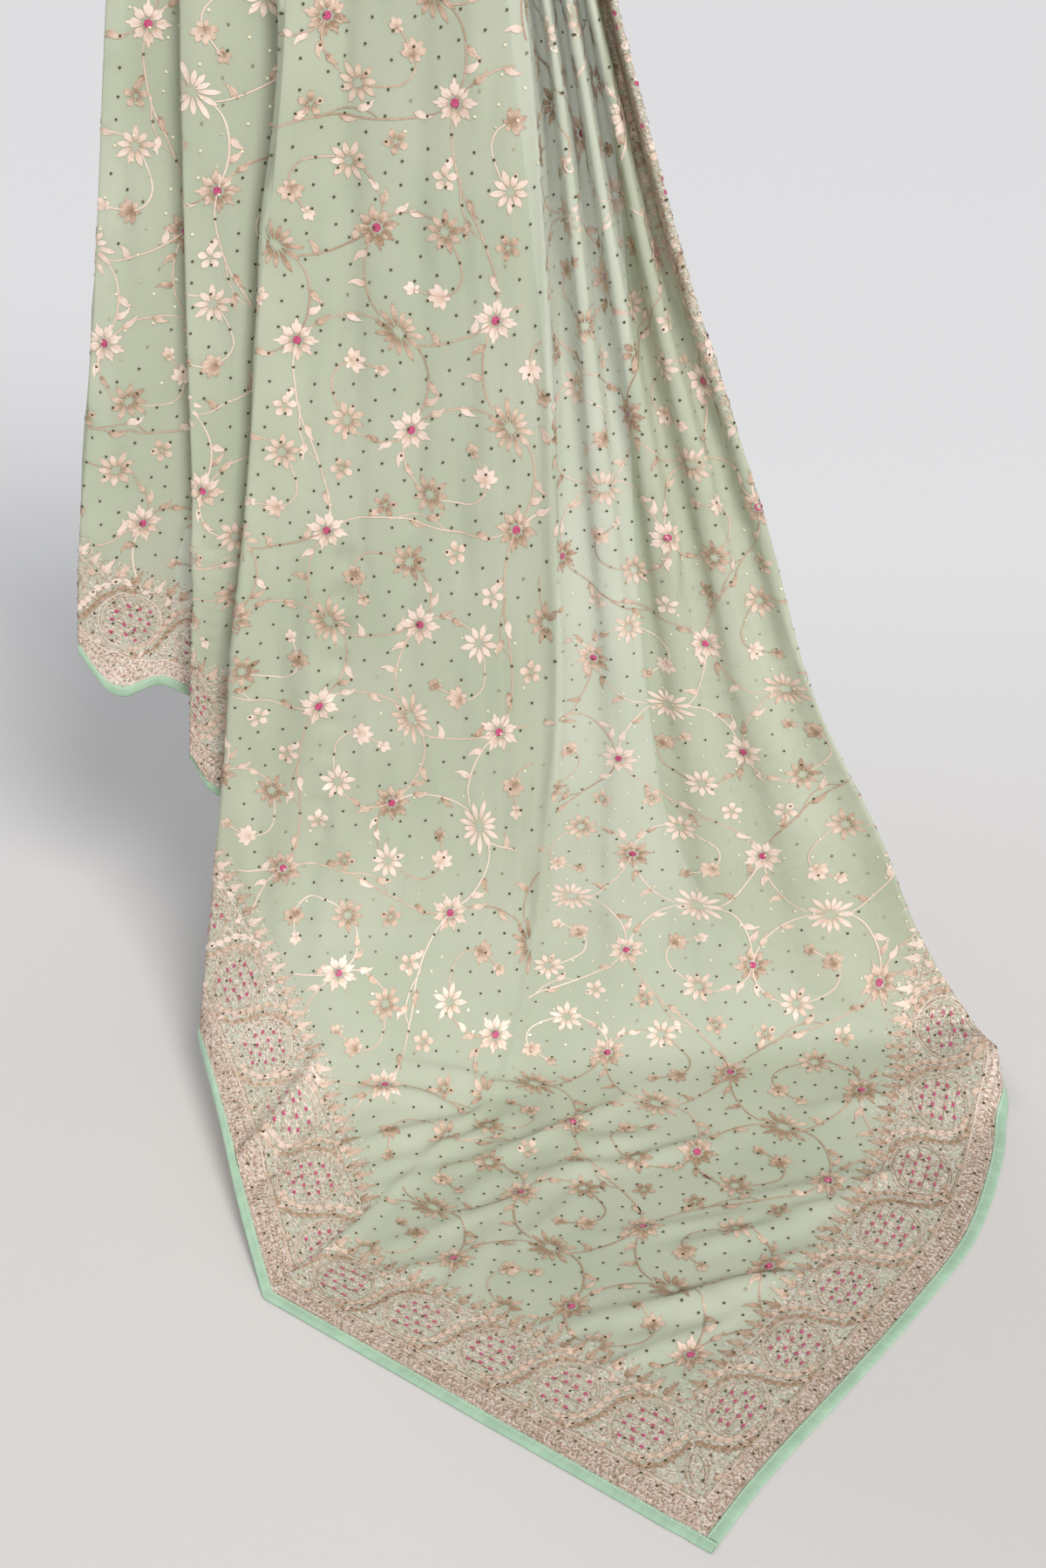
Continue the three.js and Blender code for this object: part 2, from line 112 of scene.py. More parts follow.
REAR = named(["z"] + FOLD_LINES + ["out", "tuck", "flute", "under", "pitch"], [
    [1400, 57.5, 54, 24, -55, 20, -55, 20, -55, 20, -50, 73, 21, 22, 24.6, 3.3],
    [1150, 95, 88, 46, -57, 40, -60, 34, -63, 26, -58, 75, 20, 23, 26, 3.5],
    [850, 136, 126, 72, -60, 64, -68, 54, -74, 40, -66, 78, 18, 23, 26, 3.7],
    [430, 180, 166, 98, -66, 90, -74, 78, -82, 60, -72, 80, 15, 22, 25, 3.7],
    [60, 176, 162, 96, -64, 88, -74, 76, -82, 58, -70, 81, 13, 22, 25, 3.7],
])
PLAIN_RIGHT = 840.0
PLAIN_LEFT = 170.0
ACROSS = {
    "edge0": 0, "u": 0.04, "f1": 0.08, "g": 0.35, "h": 0.42, "j": 0.5, "f4": 0.57,
    "f5": 0.63, "f6": 0.72, "f7": 0.79, "f8": 0.9, "f9": 0.96, "edge1": 1,
}
FLUTES = 3
FLUTE_SLOTS = 2 * FLUTES + 2
BACK_FOLDS = ["f4", "f5", "f6", "f7", "f8", "f9"]
FLUTE_DROP = [11, 8, 6, 4, 3]
FLUTE_LAY = [2, 1, 0, 0, 0]


def line_names():
    names = ["edge0", "u", "f1.b", "f1.a"]
    for i in range(FLUTES):
        names += [f"t{i}.a", f"t{i}.b", f"k{i}.a", f"k{i}.b"]
    names += [f"t{FLUTES}.a", f"t{FLUTES}.b", "g", "h", "j"]
    for f in BACK_FOLDS:
        names += [f"{f}.a", f"{f}.b"]
    return names + ["edge1"]


LINES = line_names()


def fold_of(name):
    return name.split(".")[0]


def mix(a, b, t):
    return a + (b - a) * t


def rise(value, start, width):
    """From 0 at start to 1 at start + width, and level outside."""
    return np.clip((value - start) / width, 0, 1)


def run_along(points):
    """The length along a line of points, up to each point."""
    return np.concatenate([[0], np.cumsum(np.linalg.norm(np.diff(points, axis=0), axis=1))])


def at_runs(points, run, wanted):
    """Places on a line of points, at the wanted lengths along it."""
    return np.stack([np.interp(wanted, run, column) for column in points.T], axis=1)


def smoothed(knots, fine):
    """A spline through all the (x, y) knots, with `fine` steps in all."""
    knots = np.array([[x, y, 0.0] for x, y in knots])
    return curve_points(knots, 0, len(knots) - 1, fine)[:, :2]


def level_section(row):
    out = {}
    step = (row["f1"] - row["g"]) / FLUTE_SLOTS
    e = step / 2
    tucked = min(1.0, max(0.0, (row["f1"] - row["edge0"]) / 12))
    out["edge0"] = (row["edge0"], row["under"])
    out["f1.b"] = (row["f1"] + e * 0.55, 0.0)
    out["f1.a"] = (row["f1"] - e * 0.55, 0.0)
    halfway = (mix(out["f1.b"][0], row["edge0"], 0.5), row["under"] * 0.5)
    behind = (row["f1"] - step + e * 0.55 + 3, row["flute"] + 3.4)
    out["u"] = (mix(halfway[0], behind[0], tucked), mix(halfway[1], behind[1], tucked))
    for i in range(FLUTES + 1):
        xt = row["f1"] - step * (2 * i + 1)
        out[f"t{i}.a"] = (xt + e * 0.55, row["flute"])
        out[f"t{i}.b"] = (xt - e * 0.55, row["flute"])
        if i < FLUTES:
            xk = row["f1"] - step * (2 * i + 2)
            out[f"k{i}.a"] = (xk + e * 0.55, 0.0)
            out[f"k{i}.b"] = (xk - e * 0.55, 0.0)
    out["g"] = (row["g"], 0.0)
    out["h"] = (mix(row["g"], row["f4"], 0.36), 0.0)
    out["j"] = (mix(row["g"], row["f4"], 0.7), 0.0)
    for i, f in enumerate(BACK_FOLDS):
        out[f"{f}.a"] = (row[f], row["pitch"] * i)
        out[f"{f}.b"] = (row[f], row["pitch"] * (i + 1))
    out["edge1"] = (row["edge1"], row["pitch"] * 6)
    return out


def curve_points(points, start, stop, fine):
    """Centripetal spline through points, between two of them."""
    pts = np.asarray(points, float)
    padded = np.vstack([2 * pts[0] - pts[1], pts, 2 * pts[-1] - pts[-2]])
    ts = np.linspace(start, stop, fine + 1)
    seg = np.minimum(len(pts) - 2, np.floor(ts + 1e-9).astype(int))
    w = (ts - seg)[:, None]
    p0, p1, p2, p3 = (padded[seg + k] for k in range(4))
    gap = [np.maximum(1e-4, np.sum((b - a) ** 2, axis=1) ** 0.25)[:, None]
           for a, b in ((p0, p1), (p1, p2), (p2, p3))]
    d0, d1, d2 = gap
    m1 = ((p1 - p0) / d0 - (p2 - p0) / (d0 + d1) + (p2 - p1) / d1) * d1
    m2 = ((p2 - p1) / d1 - (p3 - p1) / (d1 + d2) + (p3 - p2) / d2) * d1
    c2 = -3 * p1 + 3 * p2 - 2 * m1 - m2
    c3 = 2 * p1 - 2 * p2 + m1 + m2
    return p1 + m1 * w + c2 * w ** 2 + c3 * w ** 3


def spline_through(points, marks, counts):
    """Points spaced evenly by length between the marked points, then both rims of the piping."""
    out = []
    for i in range(len(marks) - 1):
        pts = curve_points(points, marks[i], marks[i + 1], 120)
        run = run_along(pts)
        last = i == len(marks) - 2
        usable = run[-1] - TRIM if last else run[-1]
        wanted = usable * np.arange(1 if i else 0, counts[i] + 1) / counts[i]
        if last:
            wanted = np.append(wanted, [run[-1] - PIPING_WIDTH, run[-1]])
        out.append(at_runs(pts, run, wanted))
    return np.vstack(out)


def along(points, t):
    x = t * (len(points) - 1)
    k = min(len(points) - 2, int(math.floor(x)))
    return mix(np.array(points[k], float), np.array(points[k + 1], float), x - k)


def flute_path(name):
    last = UPPER[-1]
    crest = name[0] == "k"
    place = (2 * int(name[1]) + (2 if crest else 1)) / FLUTE_SLOTS
    across = place + (-0.024 if name.endswith(".a") else 0.024)
    top = {key: [last[key], last["yc"], last["z"]] for key in ("f1", "g")}
    drop = []
    lay = []
    for s, depth in enumerate(FLUTE_DROP):
        t = (s + 1) / len(FLUTE_DROP)
        p = mix(along([top["f1"]] + DROP["f1"], t), along([top["g"]] + DROP["g"], t), across)
        p[1] += 0 if crest else depth
        drop.append(list(p))
    for s, depth in enumerate(FLUTE_LAY):
        t = (s + 1) / len(FLUTE_LAY)
        right = along([DROP["f1"][-1]] + LAY["f1"], t)
        left = along([DROP["g"][-1]] + LAY["g"], t)
        p = mix(right, left, across)
        p[2] += depth if crest else 0
        lay.append(list(p))
    return drop, lay


def lower_path(name):
    fold = fold_of(name)
    back = name.endswith(".b")
    if name in DROP:
        return DROP[name], LAY[name]
    if fold[0] in "tk":
        return flute_path(name)
    if fold == "f1":
        side = 1 if back else -1
        drop = [[p[0] + 1.5, p[1] + 4.5, p[2]] if back else p for p in DROP["f1"]]
        return drop, [[p[0] + 4 * side, p[1] - 2.5 * side, p[2]] for p in LAY["f1"]]
    pitch = UPPER[-1]["pitch"]

    def put(p):
        if not back:
            return p
        opened = 0.02 * (320 - p[2]) if fold == "f4" else 0
        return [p[0], p[1] + pitch + opened, p[2]]

    return [put(p) for p in DROP[fold]], [put(p) for p in LAY[fold]]


def front_control(counts):
    upper = [(row, level_section(row)) for row in UPPER]
    columns = []
    for name in LINES:
        top = [[s[name][0], row["yc"] + s[name][1], row["z"]] for row, s in upper]
        drop, lay = lower_path(name)
        pts = [[p[0], p[1], p[2] + FLOOR] for p in top + drop + lay]
        marks = [0, len(UPPER) - 1, len(UPPER) - 1 + len(drop), len(pts) - 1]
        columns.append(spline_through(pts, marks, counts))
    return np.stack(columns, axis=1)


def is_pair(i):
    return 0 < i < len(LINES) and fold_of(LINES[i]) == fold_of(LINES[i - 1])


SHOWS_BESIDE = {"f6.a": "f4.a", "f8.a": "f6.a"}


def bend(ctrl, i, start, stop, t):
    """Points across one panel at the shares t, for every row at once."""
    t = np.asarray(t)[None, :, None]
    a = start[:, None, :]
    b = stop[:, None, :]
    if LINES[i] not in ("h", "j", "f4.a"):
        p = mix(a, b, t)
        before = SHOWS_BESIDE.get(LINES[i])
        if before:
            ahead = ctrl[:, LINES.index(before), 0]
            shown = np.maximum(0, ahead - stop[:, 0] - 6)[:, None]
            width = np.linalg.norm(stop - start, axis=1)[:, None]
            hidden = 1 - np.minimum(0.95, shown / width)
            reach = np.maximum(0, (t[..., 0] - hidden) / np.maximum(1e-6, 1 - hidden))
            p[..., 1] -= 0.02 * shown * np.sin(np.pi * reach)
        if LINES[i] == "f5.a":
            low = np.clip((FLOOR + 260 - start[:, 2]) / 110, 0, 1)[:, None]
            p[..., 1] += 4 * low * np.sin(np.pi * (0.1 + 0.9 * t[..., 0]))
        return p
    p0 = ctrl[:, i - 2] if LINES[i] != "h" else start
    p3 = stop if LINES[i] == "f4.a" else ctrl[:, i + 1]
    m1 = (b - p0[:, None, :]) * 0.5
    m2 = (p3[:, None, :] - a) * 0.5
    t2 = t * t
    t3 = t2 * t
    return (2 * t3 - 3 * t2 + 1) * a + (t3 - 2 * t2 + t) * m1 + (-2 * t3 + 3 * t2) * b + (t3 - t2) * m2


def on_leg(ctrl, i):
    partner = ctrl[:, i - 1] if is_pair(i) else ctrl[:, i + 1]
    away = ctrl[:, i + 1] if is_pair(i) else ctrl[:, i - 1]
    reach = np.linalg.norm(ctrl[:, i] - away, axis=1)
    gap = np.linalg.norm(ctrl[:, i] - partner, axis=1)
    share = np.minimum(gap * 0.55, reach * 0.3) / reach
    return mix(ctrl[:, i], away, share[:, None])


def across_rows(ctrl, divide, turn):
    """Rows of control lines made into rows of cloth, each fold turned through `turn` steps."""
    cells = [ctrl[:, :1]]
    for i in range(1, len(LINES)):
        if is_pair(i):
            a, b = ctrl[:, i - 1], ctrl[:, i]
            la, lb = on_leg(ctrl, i - 1), on_leg(ctrl, i)
            t = (np.arange(1, turn + 1) / turn)[None, :, None]
            w = [(1 - t) ** 3, 3 * t * (1 - t) ** 2, 3 * t ** 2 * (1 - t), t ** 3]
            cells.append(sum(p[:, None, :] * k for p, k in zip((la, a, b, lb), w)))
            continue
        start = cells[-1][:, -1]
        stop = on_leg(ctrl, i) if is_pair(i + 1) else ctrl[:, i]
        n = divide.get(LINES[i], divide["other"])
        cells.append(bend(ctrl, i, start, stop, np.arange(1, n + 2) / (n + 1)))
        cells[-1][:, -1] = stop
    return np.concatenate(cells, axis=1)


def pulled_in(ctrl, amount):
    out = ctrl.copy()
    for edge, inner in ((0, 1), (-1, -2)):
        away = ctrl[:, inner] - ctrl[:, edge]
        out[:, edge] += away * (amount / np.linalg.norm(away, axis=1))[:, None]
    return out


def rear_row(height):
    k = 0
    while k < len(REAR) - 2 and REAR[k + 1]["z"] > height:
        k += 1
    a, b = REAR[k], REAR[k + 1]
    t = (a["z"] - height) / (a["z"] - b["z"])
    return {key: mix(a[key], b[key], t) for key in a}


def over_hold(radius_of, steps, lift):
    section = level_section(UPPER[0])
    rows = []
    for angle in np.linspace(0, math.pi, steps + 1):
        rows.append([[section[n][0], -radius_of(section[n][1]) * math.cos(angle),
                      radius_of(section[n][1]) * math.sin(angle) + lift] for n in LINES])
    return np.array(rows)


def rear_control(steps, turn_steps):
    rows = []
    for height in np.linspace(1400, TURN_HEIGHT, steps + 1):
        row = rear_row(height)
        section = level_section(row)
        rows.append([[section[n][0], row["out"] - section[n][1], height + FLOOR] for n in LINES])
    last = np.array(rows[-1])
    for i in range(1, turn_steps + 1):
        angle = math.pi * i / turn_steps
        r = last[:, 1] - TURN_Y
        turned = last.copy()
        turned[:, 1] = TURN_Y + r * math.cos(angle)
        turned[:, 2] = last[:, 2] - r * math.sin(angle)
        rows.append(turned.tolist())
    return np.array(rows)


def line_across(name):
    fold = fold_of(name)
    if fold in ACROSS:
        return ACROSS[fold]
    slot = 2 * int(fold[1]) + (2 if fold[0] == "k" else 1)
    return mix(ACROSS["f1"], ACROSS["g"], slot / FLUTE_SLOTS)


def tucked_control(rise_steps, over_steps, fall_steps):
    bottom = rear_control(6, 5)[-1]
    rise = []
    for height in np.linspace(TURN_HEIGHT, 1400, rise_steps + 1):
        row = rear_row(height)
        section = level_section(row)
        low = max(0.0, 1 - (height - TURN_HEIGHT) / 268)
        rise.append([[section[n][0],
                      mix(row["tuck"] + section[n][1], bottom[i][1], low),
                      height + FLOOR] for i, n in enumerate(LINES)])
    rise = np.array(rise)
    rise[0, :, 2] += SEAM
    over = over_hold(lambda depth: INNER_R + depth, over_steps, 0)[::-1][1:]
    fall = []
    for s in range(1, fall_steps + 1):
        row_points = []
        for n in LINES:
            height = mix(1400, mix(PLAIN_RIGHT, PLAIN_LEFT, line_across(n)), s / fall_steps)
            section = level_section(rear_row(height))
            row_points.append([section[n][0] * 0.97, -(INNER_R + section[n][1]), height + FLOOR])
        fall.append(row_points)
    return np.vstack([rise, over, np.array(fall)])


# How finely each panel is divided, by the line it ends at, and how finely a fold turns.
FINE = {
    "u": 16, "f1.b": 3, "g": 6, "h": 20, "j": 20, "f4.a": 20, "f5.a": 9, "f6.a": 24,
    "f7.a": 8, "f8.a": 24, "f9.a": 8, "edge1": 6, "other": 5,
}
PLAIN = {"u": 2, "h": 10, "j": 10, "f4.a": 10, "f5.a": 9, "f6.a": 9, "f7.a": 9, "f8.a": 9, "f9.a": 9,
         "edge1": 5, "other": 2}
FOLD_TURN = 6
EDGE_TUCK = 5.0


def unit(v):
    return v / np.maximum(1e-9, np.linalg.norm(v, axis=-1, keepdims=True))


def grid_normals(grid):
    du = np.gradient(grid, axis=1)
    ds = np.gradient(grid, axis=0)
    return unit(np.cross(du, ds))


def run_across(grid):
    step = np.linalg.norm(np.diff(grid, axis=1), axis=2)
    return np.concatenate([np.zeros((len(grid), 1)), np.cumsum(step, axis=1)], axis=1)


def run_down(grid):
    step = np.linalg.norm(np.diff(grid, axis=0), axis=2)
    return np.concatenate([np.zeros((1, grid.shape[1])), np.cumsum(step, axis=0)], axis=0)


def grid_triangles(rows, cols):
    a = (np.arange(rows - 1)[:, None] * cols + np.arange(cols - 1)[None, :]).ravel()
    return np.concatenate([
        np.stack([a, a + 1, a + cols + 1], axis=1),
        np.stack([a, a + cols + 1, a + cols], axis=1),
    ])


def flatten(grid, rounds, from_edge):
    """The cut of a hung cloth: flat coordinates that keep lengths, u across and s up from the
    decorated end, which is straight. from_edge keeps the first column straight too."""
    rows, cols, _ = grid.shape
    tris = grid_triangles(rows, cols)
    pts = grid.reshape(-1, 3)
    e1 = pts[tris[:, 1]] - pts[tris[:, 0]]
    e2 = pts[tris[:, 2]] - pts[tris[:, 0]]
    length = np.linalg.norm(e1, axis=1)
    along_e1 = np.sum(e1 * e2, axis=1) / length
    height = np.linalg.norm(np.cross(e1, e2), axis=1) / length
    local = np.zeros((len(tris), 3, 2))
    local[:, 1, 0] = length
    local[:, 2, 0] = along_e1
    local[:, 2, 1] = height
    cot = np.zeros((len(tris), 3))
    for k in range(3):
        a = local[:, (k + 1) % 3] - local[:, k]
        b = local[:, (k + 2) % 3] - local[:, k]
        cross = np.abs(a[:, 0] * b[:, 1] - a[:, 1] * b[:, 0])
        cot[:, k] = np.clip(np.sum(a * b, axis=1) / np.maximum(1e-6, cross), 0.02, 20)
    n = len(pts)
    lap = np.zeros((n, n))
    for k in range(3):
        i, j = tris[:, (k + 1) % 3], tris[:, (k + 2) % 3]
        w = cot[:, k]
        np.add.at(lap, (i, j), -w)
        np.add.at(lap, (j, i), -w)
        np.add.at(lap, (i, i), w)
        np.add.at(lap, (j, j), w)
    down = run_down(grid)
    flat = np.stack([run_across(grid), down[-1:] - down], axis=2).reshape(-1, 2)
    ids = np.arange(n).reshape(rows, cols)
    fixed = [ids[:, 0] if from_edge else ids[-1:, 0], ids[-1, :]]
    free = [np.setdiff1d(np.arange(n), f) for f in fixed]
    solver = [np.linalg.inv(lap[np.ix_(f, f)]) for f in free]
    flat[fixed[0], 0] = 0
    flat[fixed[1], 1] = 0
    mirror = np.array([1.0, -1.0])
    for _ in range(rounds):
        rhs = np.zeros((n, 2))
        cov = np.zeros((len(tris), 2, 2))
        for k in range(3):
            i, j = tris[:, (k + 1) % 3], tris[:, (k + 2) % 3]
            d3 = (local[:, (k + 1) % 3] - local[:, (k + 2) % 3]) * mirror
            d2 = flat[i] - flat[j]
            cov += cot[:, k, None, None] * d2[:, :, None] * d3[:, None, :]
        angle = np.arctan2(cov[:, 1, 0] - cov[:, 0, 1], cov[:, 0, 0] + cov[:, 1, 1])
        c, s = np.cos(angle), np.sin(angle)
        for k in range(3):
            i, j = tris[:, (k + 1) % 3], tris[:, (k + 2) % 3]
            d3 = (local[:, (k + 1) % 3] - local[:, (k + 2) % 3]) * mirror
            turned = np.stack([c * d3[:, 0] - s * d3[:, 1], s * d3[:, 0] + c * d3[:, 1]], axis=1)
            pull = cot[:, k, None] * turned
            np.add.at(rhs, i, pull)
            np.add.at(rhs, j, -pull)
        for axis in (0, 1):
            f = free[axis]
            flat[f, axis] = solver[axis] @ rhs[f, axis]
    return flat.reshape(rows, cols, 2)


def spread_flat(flat, rows_used, cols_used, grid):
    """Coarse flat coordinates carried to every point of the fine grid."""
    run = run_across(grid)
    wide = np.zeros((len(rows_used), grid.shape[1], 2))
    for k, r in enumerate(rows_used):
        for axis in (0, 1):
            wide[k, :, axis] = np.interp(run[r], run[r, cols_used], flat[k, :, axis])
    out = np.zeros(grid.shape[:2] + (2,))
    every = np.arange(grid.shape[0])
    for c in range(grid.shape[1]):
        for axis in (0, 1):
            out[:, c, axis] = np.interp(every, rows_used, wide[:, c, axis])
    return out


# Woven motifs as flat shapes in millimetres of cloth: x = u, y = s.
PITCH = 103.0
ZARI, PINK, DOT = 0, 1, 2
VINE = 1.3


class Shapes:
    """Flat triangles, with one element number, tone and kind for each petal, leaf or stroke.
    Elements of one group, such as a flower, share a tone that each copy draws anew."""

    def __init__(self):
        self.group = 0
        self.groups = []
        self.shades = []
        self.points = []
        self.tris = []
        self.element = []
        self.centres = []
        self.tones = []
        self.kinds = []
        self.count = 0

    def add(self, points, tris, tone=0.0, kind=ZARI, shades=0.0):
        points = np.asarray(points, float)
        self.shades.append(np.broadcast_to(shades, len(points)))
        self.points.append(points)
        self.tris.append(np.asarray(tris, int) + self.count)
        self.element.append(np.full(len(points), len(self.centres)))
        self.centres.append(points.mean(axis=0))
        self.tones.append(tone)
        self.kinds.append(kind)
        self.groups.append(self.group)
        self.count += len(points)

    def arrays(self):
        return (np.vstack(self.points), np.vstack(self.tris), np.concatenate(self.element),
                np.array(self.centres), np.array(self.tones), np.array(self.kinds),
                np.array(self.groups), np.concatenate(self.shades))


def heading(angle):
    return np.array([math.cos(angle), math.sin(angle)])


# A petal is darker at its foot and tip than along its middle.
PETAL_SHADE = [-0.85, -0.3, -0.3, 0.22, 0.22, 0.1, 0.1, -0.35]


def petal(shapes, at, angle, length, width, tone=0.0, kind=ZARI, fullness=0.55, curl=0.0):
    """A pointed petal or leaf from `at`, widest at `fullness` of its length."""
    at = np.asarray(at, float)
    stations = [0.0, fullness * 0.5, fullness, (1 + fullness) / 2, 1.0]
    halves = [0.0, 0.42 * width, 0.5 * width, 0.34 * width, 0.0]
    points = []
    for t, half in zip(stations, halves):
        bow = angle + curl * t
        mid = at + heading(bow) * length * t
        side = np.array([-math.sin(bow), math.cos(bow)])
        points += [mid] if half == 0 else [mid + side * half, mid - side * half]
    tris = [[0, 2, 1], [1, 2, 4], [1, 4, 3], [3, 4, 6], [3, 6, 5], [5, 6, 7]]
    shapes.add(points, tris, tone, kind, PETAL_SHADE)


def disc(shapes, at, radius, sides, tone=0.0, kind=ZARI, squeeze=1.0, turn=0.0):
    a = turn + 2 * math.pi * np.arange(sides) / sides
    pts = np.stack([np.cos(a) * radius, np.sin(a) * radius * squeeze], axis=1) + np.asarray(at, float)
    shapes.add(pts, [[0, k, k + 1] for k in range(1, sides - 1)], tone, kind)


def smooth_line(knots, spacing):
    pts = smoothed(knots, 60)
    run = run_along(pts)
    n = max(2, int(run[-1] / spacing))
    return at_runs(pts, run, np.linspace(0, run[-1], n + 1))


def stroke(shapes, knots, width, tone=0.0, spacing=4.0, taper=0.35, per_element=6):
    """A thin woven line. It is cut into short elements, so a clipped line keeps its inner part."""
    pts = smooth_line(knots, spacing)
    way = unit(np.gradient(pts, axis=0))
    side = np.stack([-way[:, 1], way[:, 0]], axis=1)
    share = np.linspace(0, 1, len(pts))
    half = 0.5 * width * (1 - taper * np.abs(2 * share - 1) ** 3)[:, None]
    left, right = pts + side * half, pts - side * half
    for start in range(0, len(pts) - 1, per_element):
        stop = min(len(pts), start + per_element + 1)
        n = stop - start
        both = np.vstack([left[start:stop], right[start:stop]])
        tris = []
        for k in range(n - 1):
            tris += [[k, n + k, n + k + 1], [k, n + k + 1, k + 1]]
        shapes.add(both, tris, tone + 0.25 * math.sin(start))


def flower(shapes, at, size=17.0, turn=0.2):
    """Eight petals with three points each about a pink heart, paler toward one side as painted sheen."""
    shapes.group += 1
    for k in range(8):
        angle = turn + k * math.pi / 4
        tone = 0.22 * math.cos(angle - 0.9) + 0.12 * math.sin(7.3 * k + turn)
        reach = size * (1.0 if k % 2 else 0.9)
        for bit, share in ((-0.2, 0.8), (0.0, 1.0), (0.2, 0.76)):
            petal(shapes, np.asarray(at) + heading(angle + bit * 0.8) * 4.3, angle + bit * 1.1,
                  reach * share - 4.3, 3.1, tone + bit, fullness=0.62)
    disc(shapes, at, 3.3, 7, 0.0, PINK, turn=turn)


def bloom(shapes, at, turn, size=20.0):
    """A wide bloom of slender petals about a small bare eye."""
    shapes.group += 1
    for k in range(13):
        angle = turn + 2 * math.pi * k / 13
        stretch = 1 + 0.22 * math.cos(2 * (angle - turn))
        # Painted sheen: petals pointing one way are paler.
        tone = 0.25 * math.cos(angle - 2.2) + 0.15 * math.sin(5.1 * k)
        petal(shapes, np.asarray(at) + heading(angle) * 3.2 * stretch, angle + 0.12,
              (size * (0.82 + 0.14 * (k % 2)) - 3.2) * stretch, 3.9, tone, fullness=0.66)


def spiky(shapes, at, turn, size=15.5):
    shapes.group += 1
    for k in range(9):
        angle = turn + 2 * math.pi * k / 9
        # Painted sheen: petals pointing one way are paler.
        tone = 0.25 * math.cos(angle + 0.6) + 0.12 * math.sin(3.7 * k)
        petal(shapes, np.asarray(at) + heading(angle) * 2.6, angle, size * (0.86 + 0.14 * (k % 2)) - 2.4,
              4.6, tone, fullness=0.55)


def fan(shapes, at, angle, size, petals=5, spread_angle=1.25, width=5.0):
    """A half-open bloom: petals fanned about one direction, with two small leaves below."""
    shapes.group += 1
    for k in range(petals):
        share = 2 * k / (petals - 1) - 1
        # Painted sheen: the petals on one side of the fan are paler.
        petal(shapes, at, angle + share * spread_angle, size * (1 - 0.18 * abs(share)), width,
              0.2 * share, fullness=0.6)
    petal(shapes, at, angle + math.pi - 0.7, size * 0.5, width * 0.7, 0.2)
    petal(shapes, at, angle + math.pi + 0.7, size * 0.5, width * 0.7, -0.2)


def small_flower(shapes, at, turn):
    shapes.group += 1
    for k in range(5):
        angle = turn + 2 * math.pi * k / 5
        # Painted sheen: petals pointing some ways are paler.
        petal(shapes, np.asarray(at) + heading(angle) * 1.2, angle, 8.2, 5.4,
              0.2 * math.cos(angle * 2 + 1), fullness=0.65)


def leaf_pair(shapes, at, angle, size=10.0):
    shapes.group += 1
    # Painted sheen: one leaf is paler than the other.
    petal(shapes, at, angle + 0.42, size * 1.25, 3.7, 0.1, fullness=0.45, curl=-0.5)
    petal(shapes, at, angle - 0.38, size, 3.2, -0.1, fullness=0.45, curl=0.5)
    petal(shapes, at, angle + 0.1, size * 0.7, 2.2, 0.0, fullness=0.5)


def cell_point(i, j, a, b):
    return ((i + a) * PITCH, (j + b) * PITCH)


def mirrored(points, across):
    return [(a, 1 - b) for a, b in points] if across else points


def spin(points):
    return [(1 - a, 1 - b) for a, b in points]


def leaf_cell(shapes, i, j, across):
    """A long leafy vine from corner to corner, with a curled spray on each side of it.
    `across` mirrors the cell, so that vines in neighbouring cells cross the cloth both ways."""
    def place(points):
        return [cell_point(i, j, a, b) for a, b in mirrored(points, across)]

    shapes.group += 1
    vine = [(1, 1), (0.92, 0.82), (0.66, 0.55), (0.5, 0.46), (0.31, 0.34), (0.1, 0.17), (0, 0)]
    stroke(shapes, place(vine), VINE, 0.1)
    stroke(shapes, place([(0.72, 0.62), (0.6, 0.46), (0.46, 0.38), (0.36, 0.38)]), 1.0, -0.1)
    flip = -1 if across else 1
    for share, lean in (((0.84, 0.7), 0.5), ((0.6, 0.53), -0.3), ((0.52, 0.42), 0.3), ((0.2, 0.22), -0.4)):
        at = place([share])[0]
        angle = flip * (math.atan2(1, 1) + math.pi + lean)
        leaf_pair(shapes, at, angle, 12.0)
    for at in ((0.8, 0.55), (0.2, 0.44)):
        small_flower(shapes, place([at])[0], 0.4 + 0.8 * at[0])
    for side in (0, 1):
        def turned(points):
            return place(spin(points) if side else points)

        for spray, width, tone in (
            ([(1, 0), (0.97, 0.12), (0.86, 0.23), (0.72, 0.28)], 1.25, 0.0),
            ([(0.54, 0.24), (0.43, 0.17), (0.34, 0.08), (0.33, -0.03), (0.37, -0.1)], 1.25, 0.1),
            ([(0.42, -0.13), (0.5, -0.17), (0.57, -0.2)], 1.1, 0.0),
        ):
            stroke(shapes, turned(spray), width, tone)
        base = math.pi if side else 0.0
        spiky(shapes, turned([(0.61, 0.26)])[0], flip * (0.3 + base))
        fan(shapes, turned([(0.38, -0.1)])[0], flip * (-0.9 + base), 12.5)
        fan(shapes, turned([(0.56, -0.19)])[0], flip * (-0.5 + base), 8.5, 3, 0.7, 4.2)
        leaf_pair(shapes, turned([(0.95, 0.15)])[0], flip * (1.9 + base), 11.0)
        leaf_pair(shapes, turned([(0.88, 0.22)])[0], flip * (2.9 + base), 9.0)


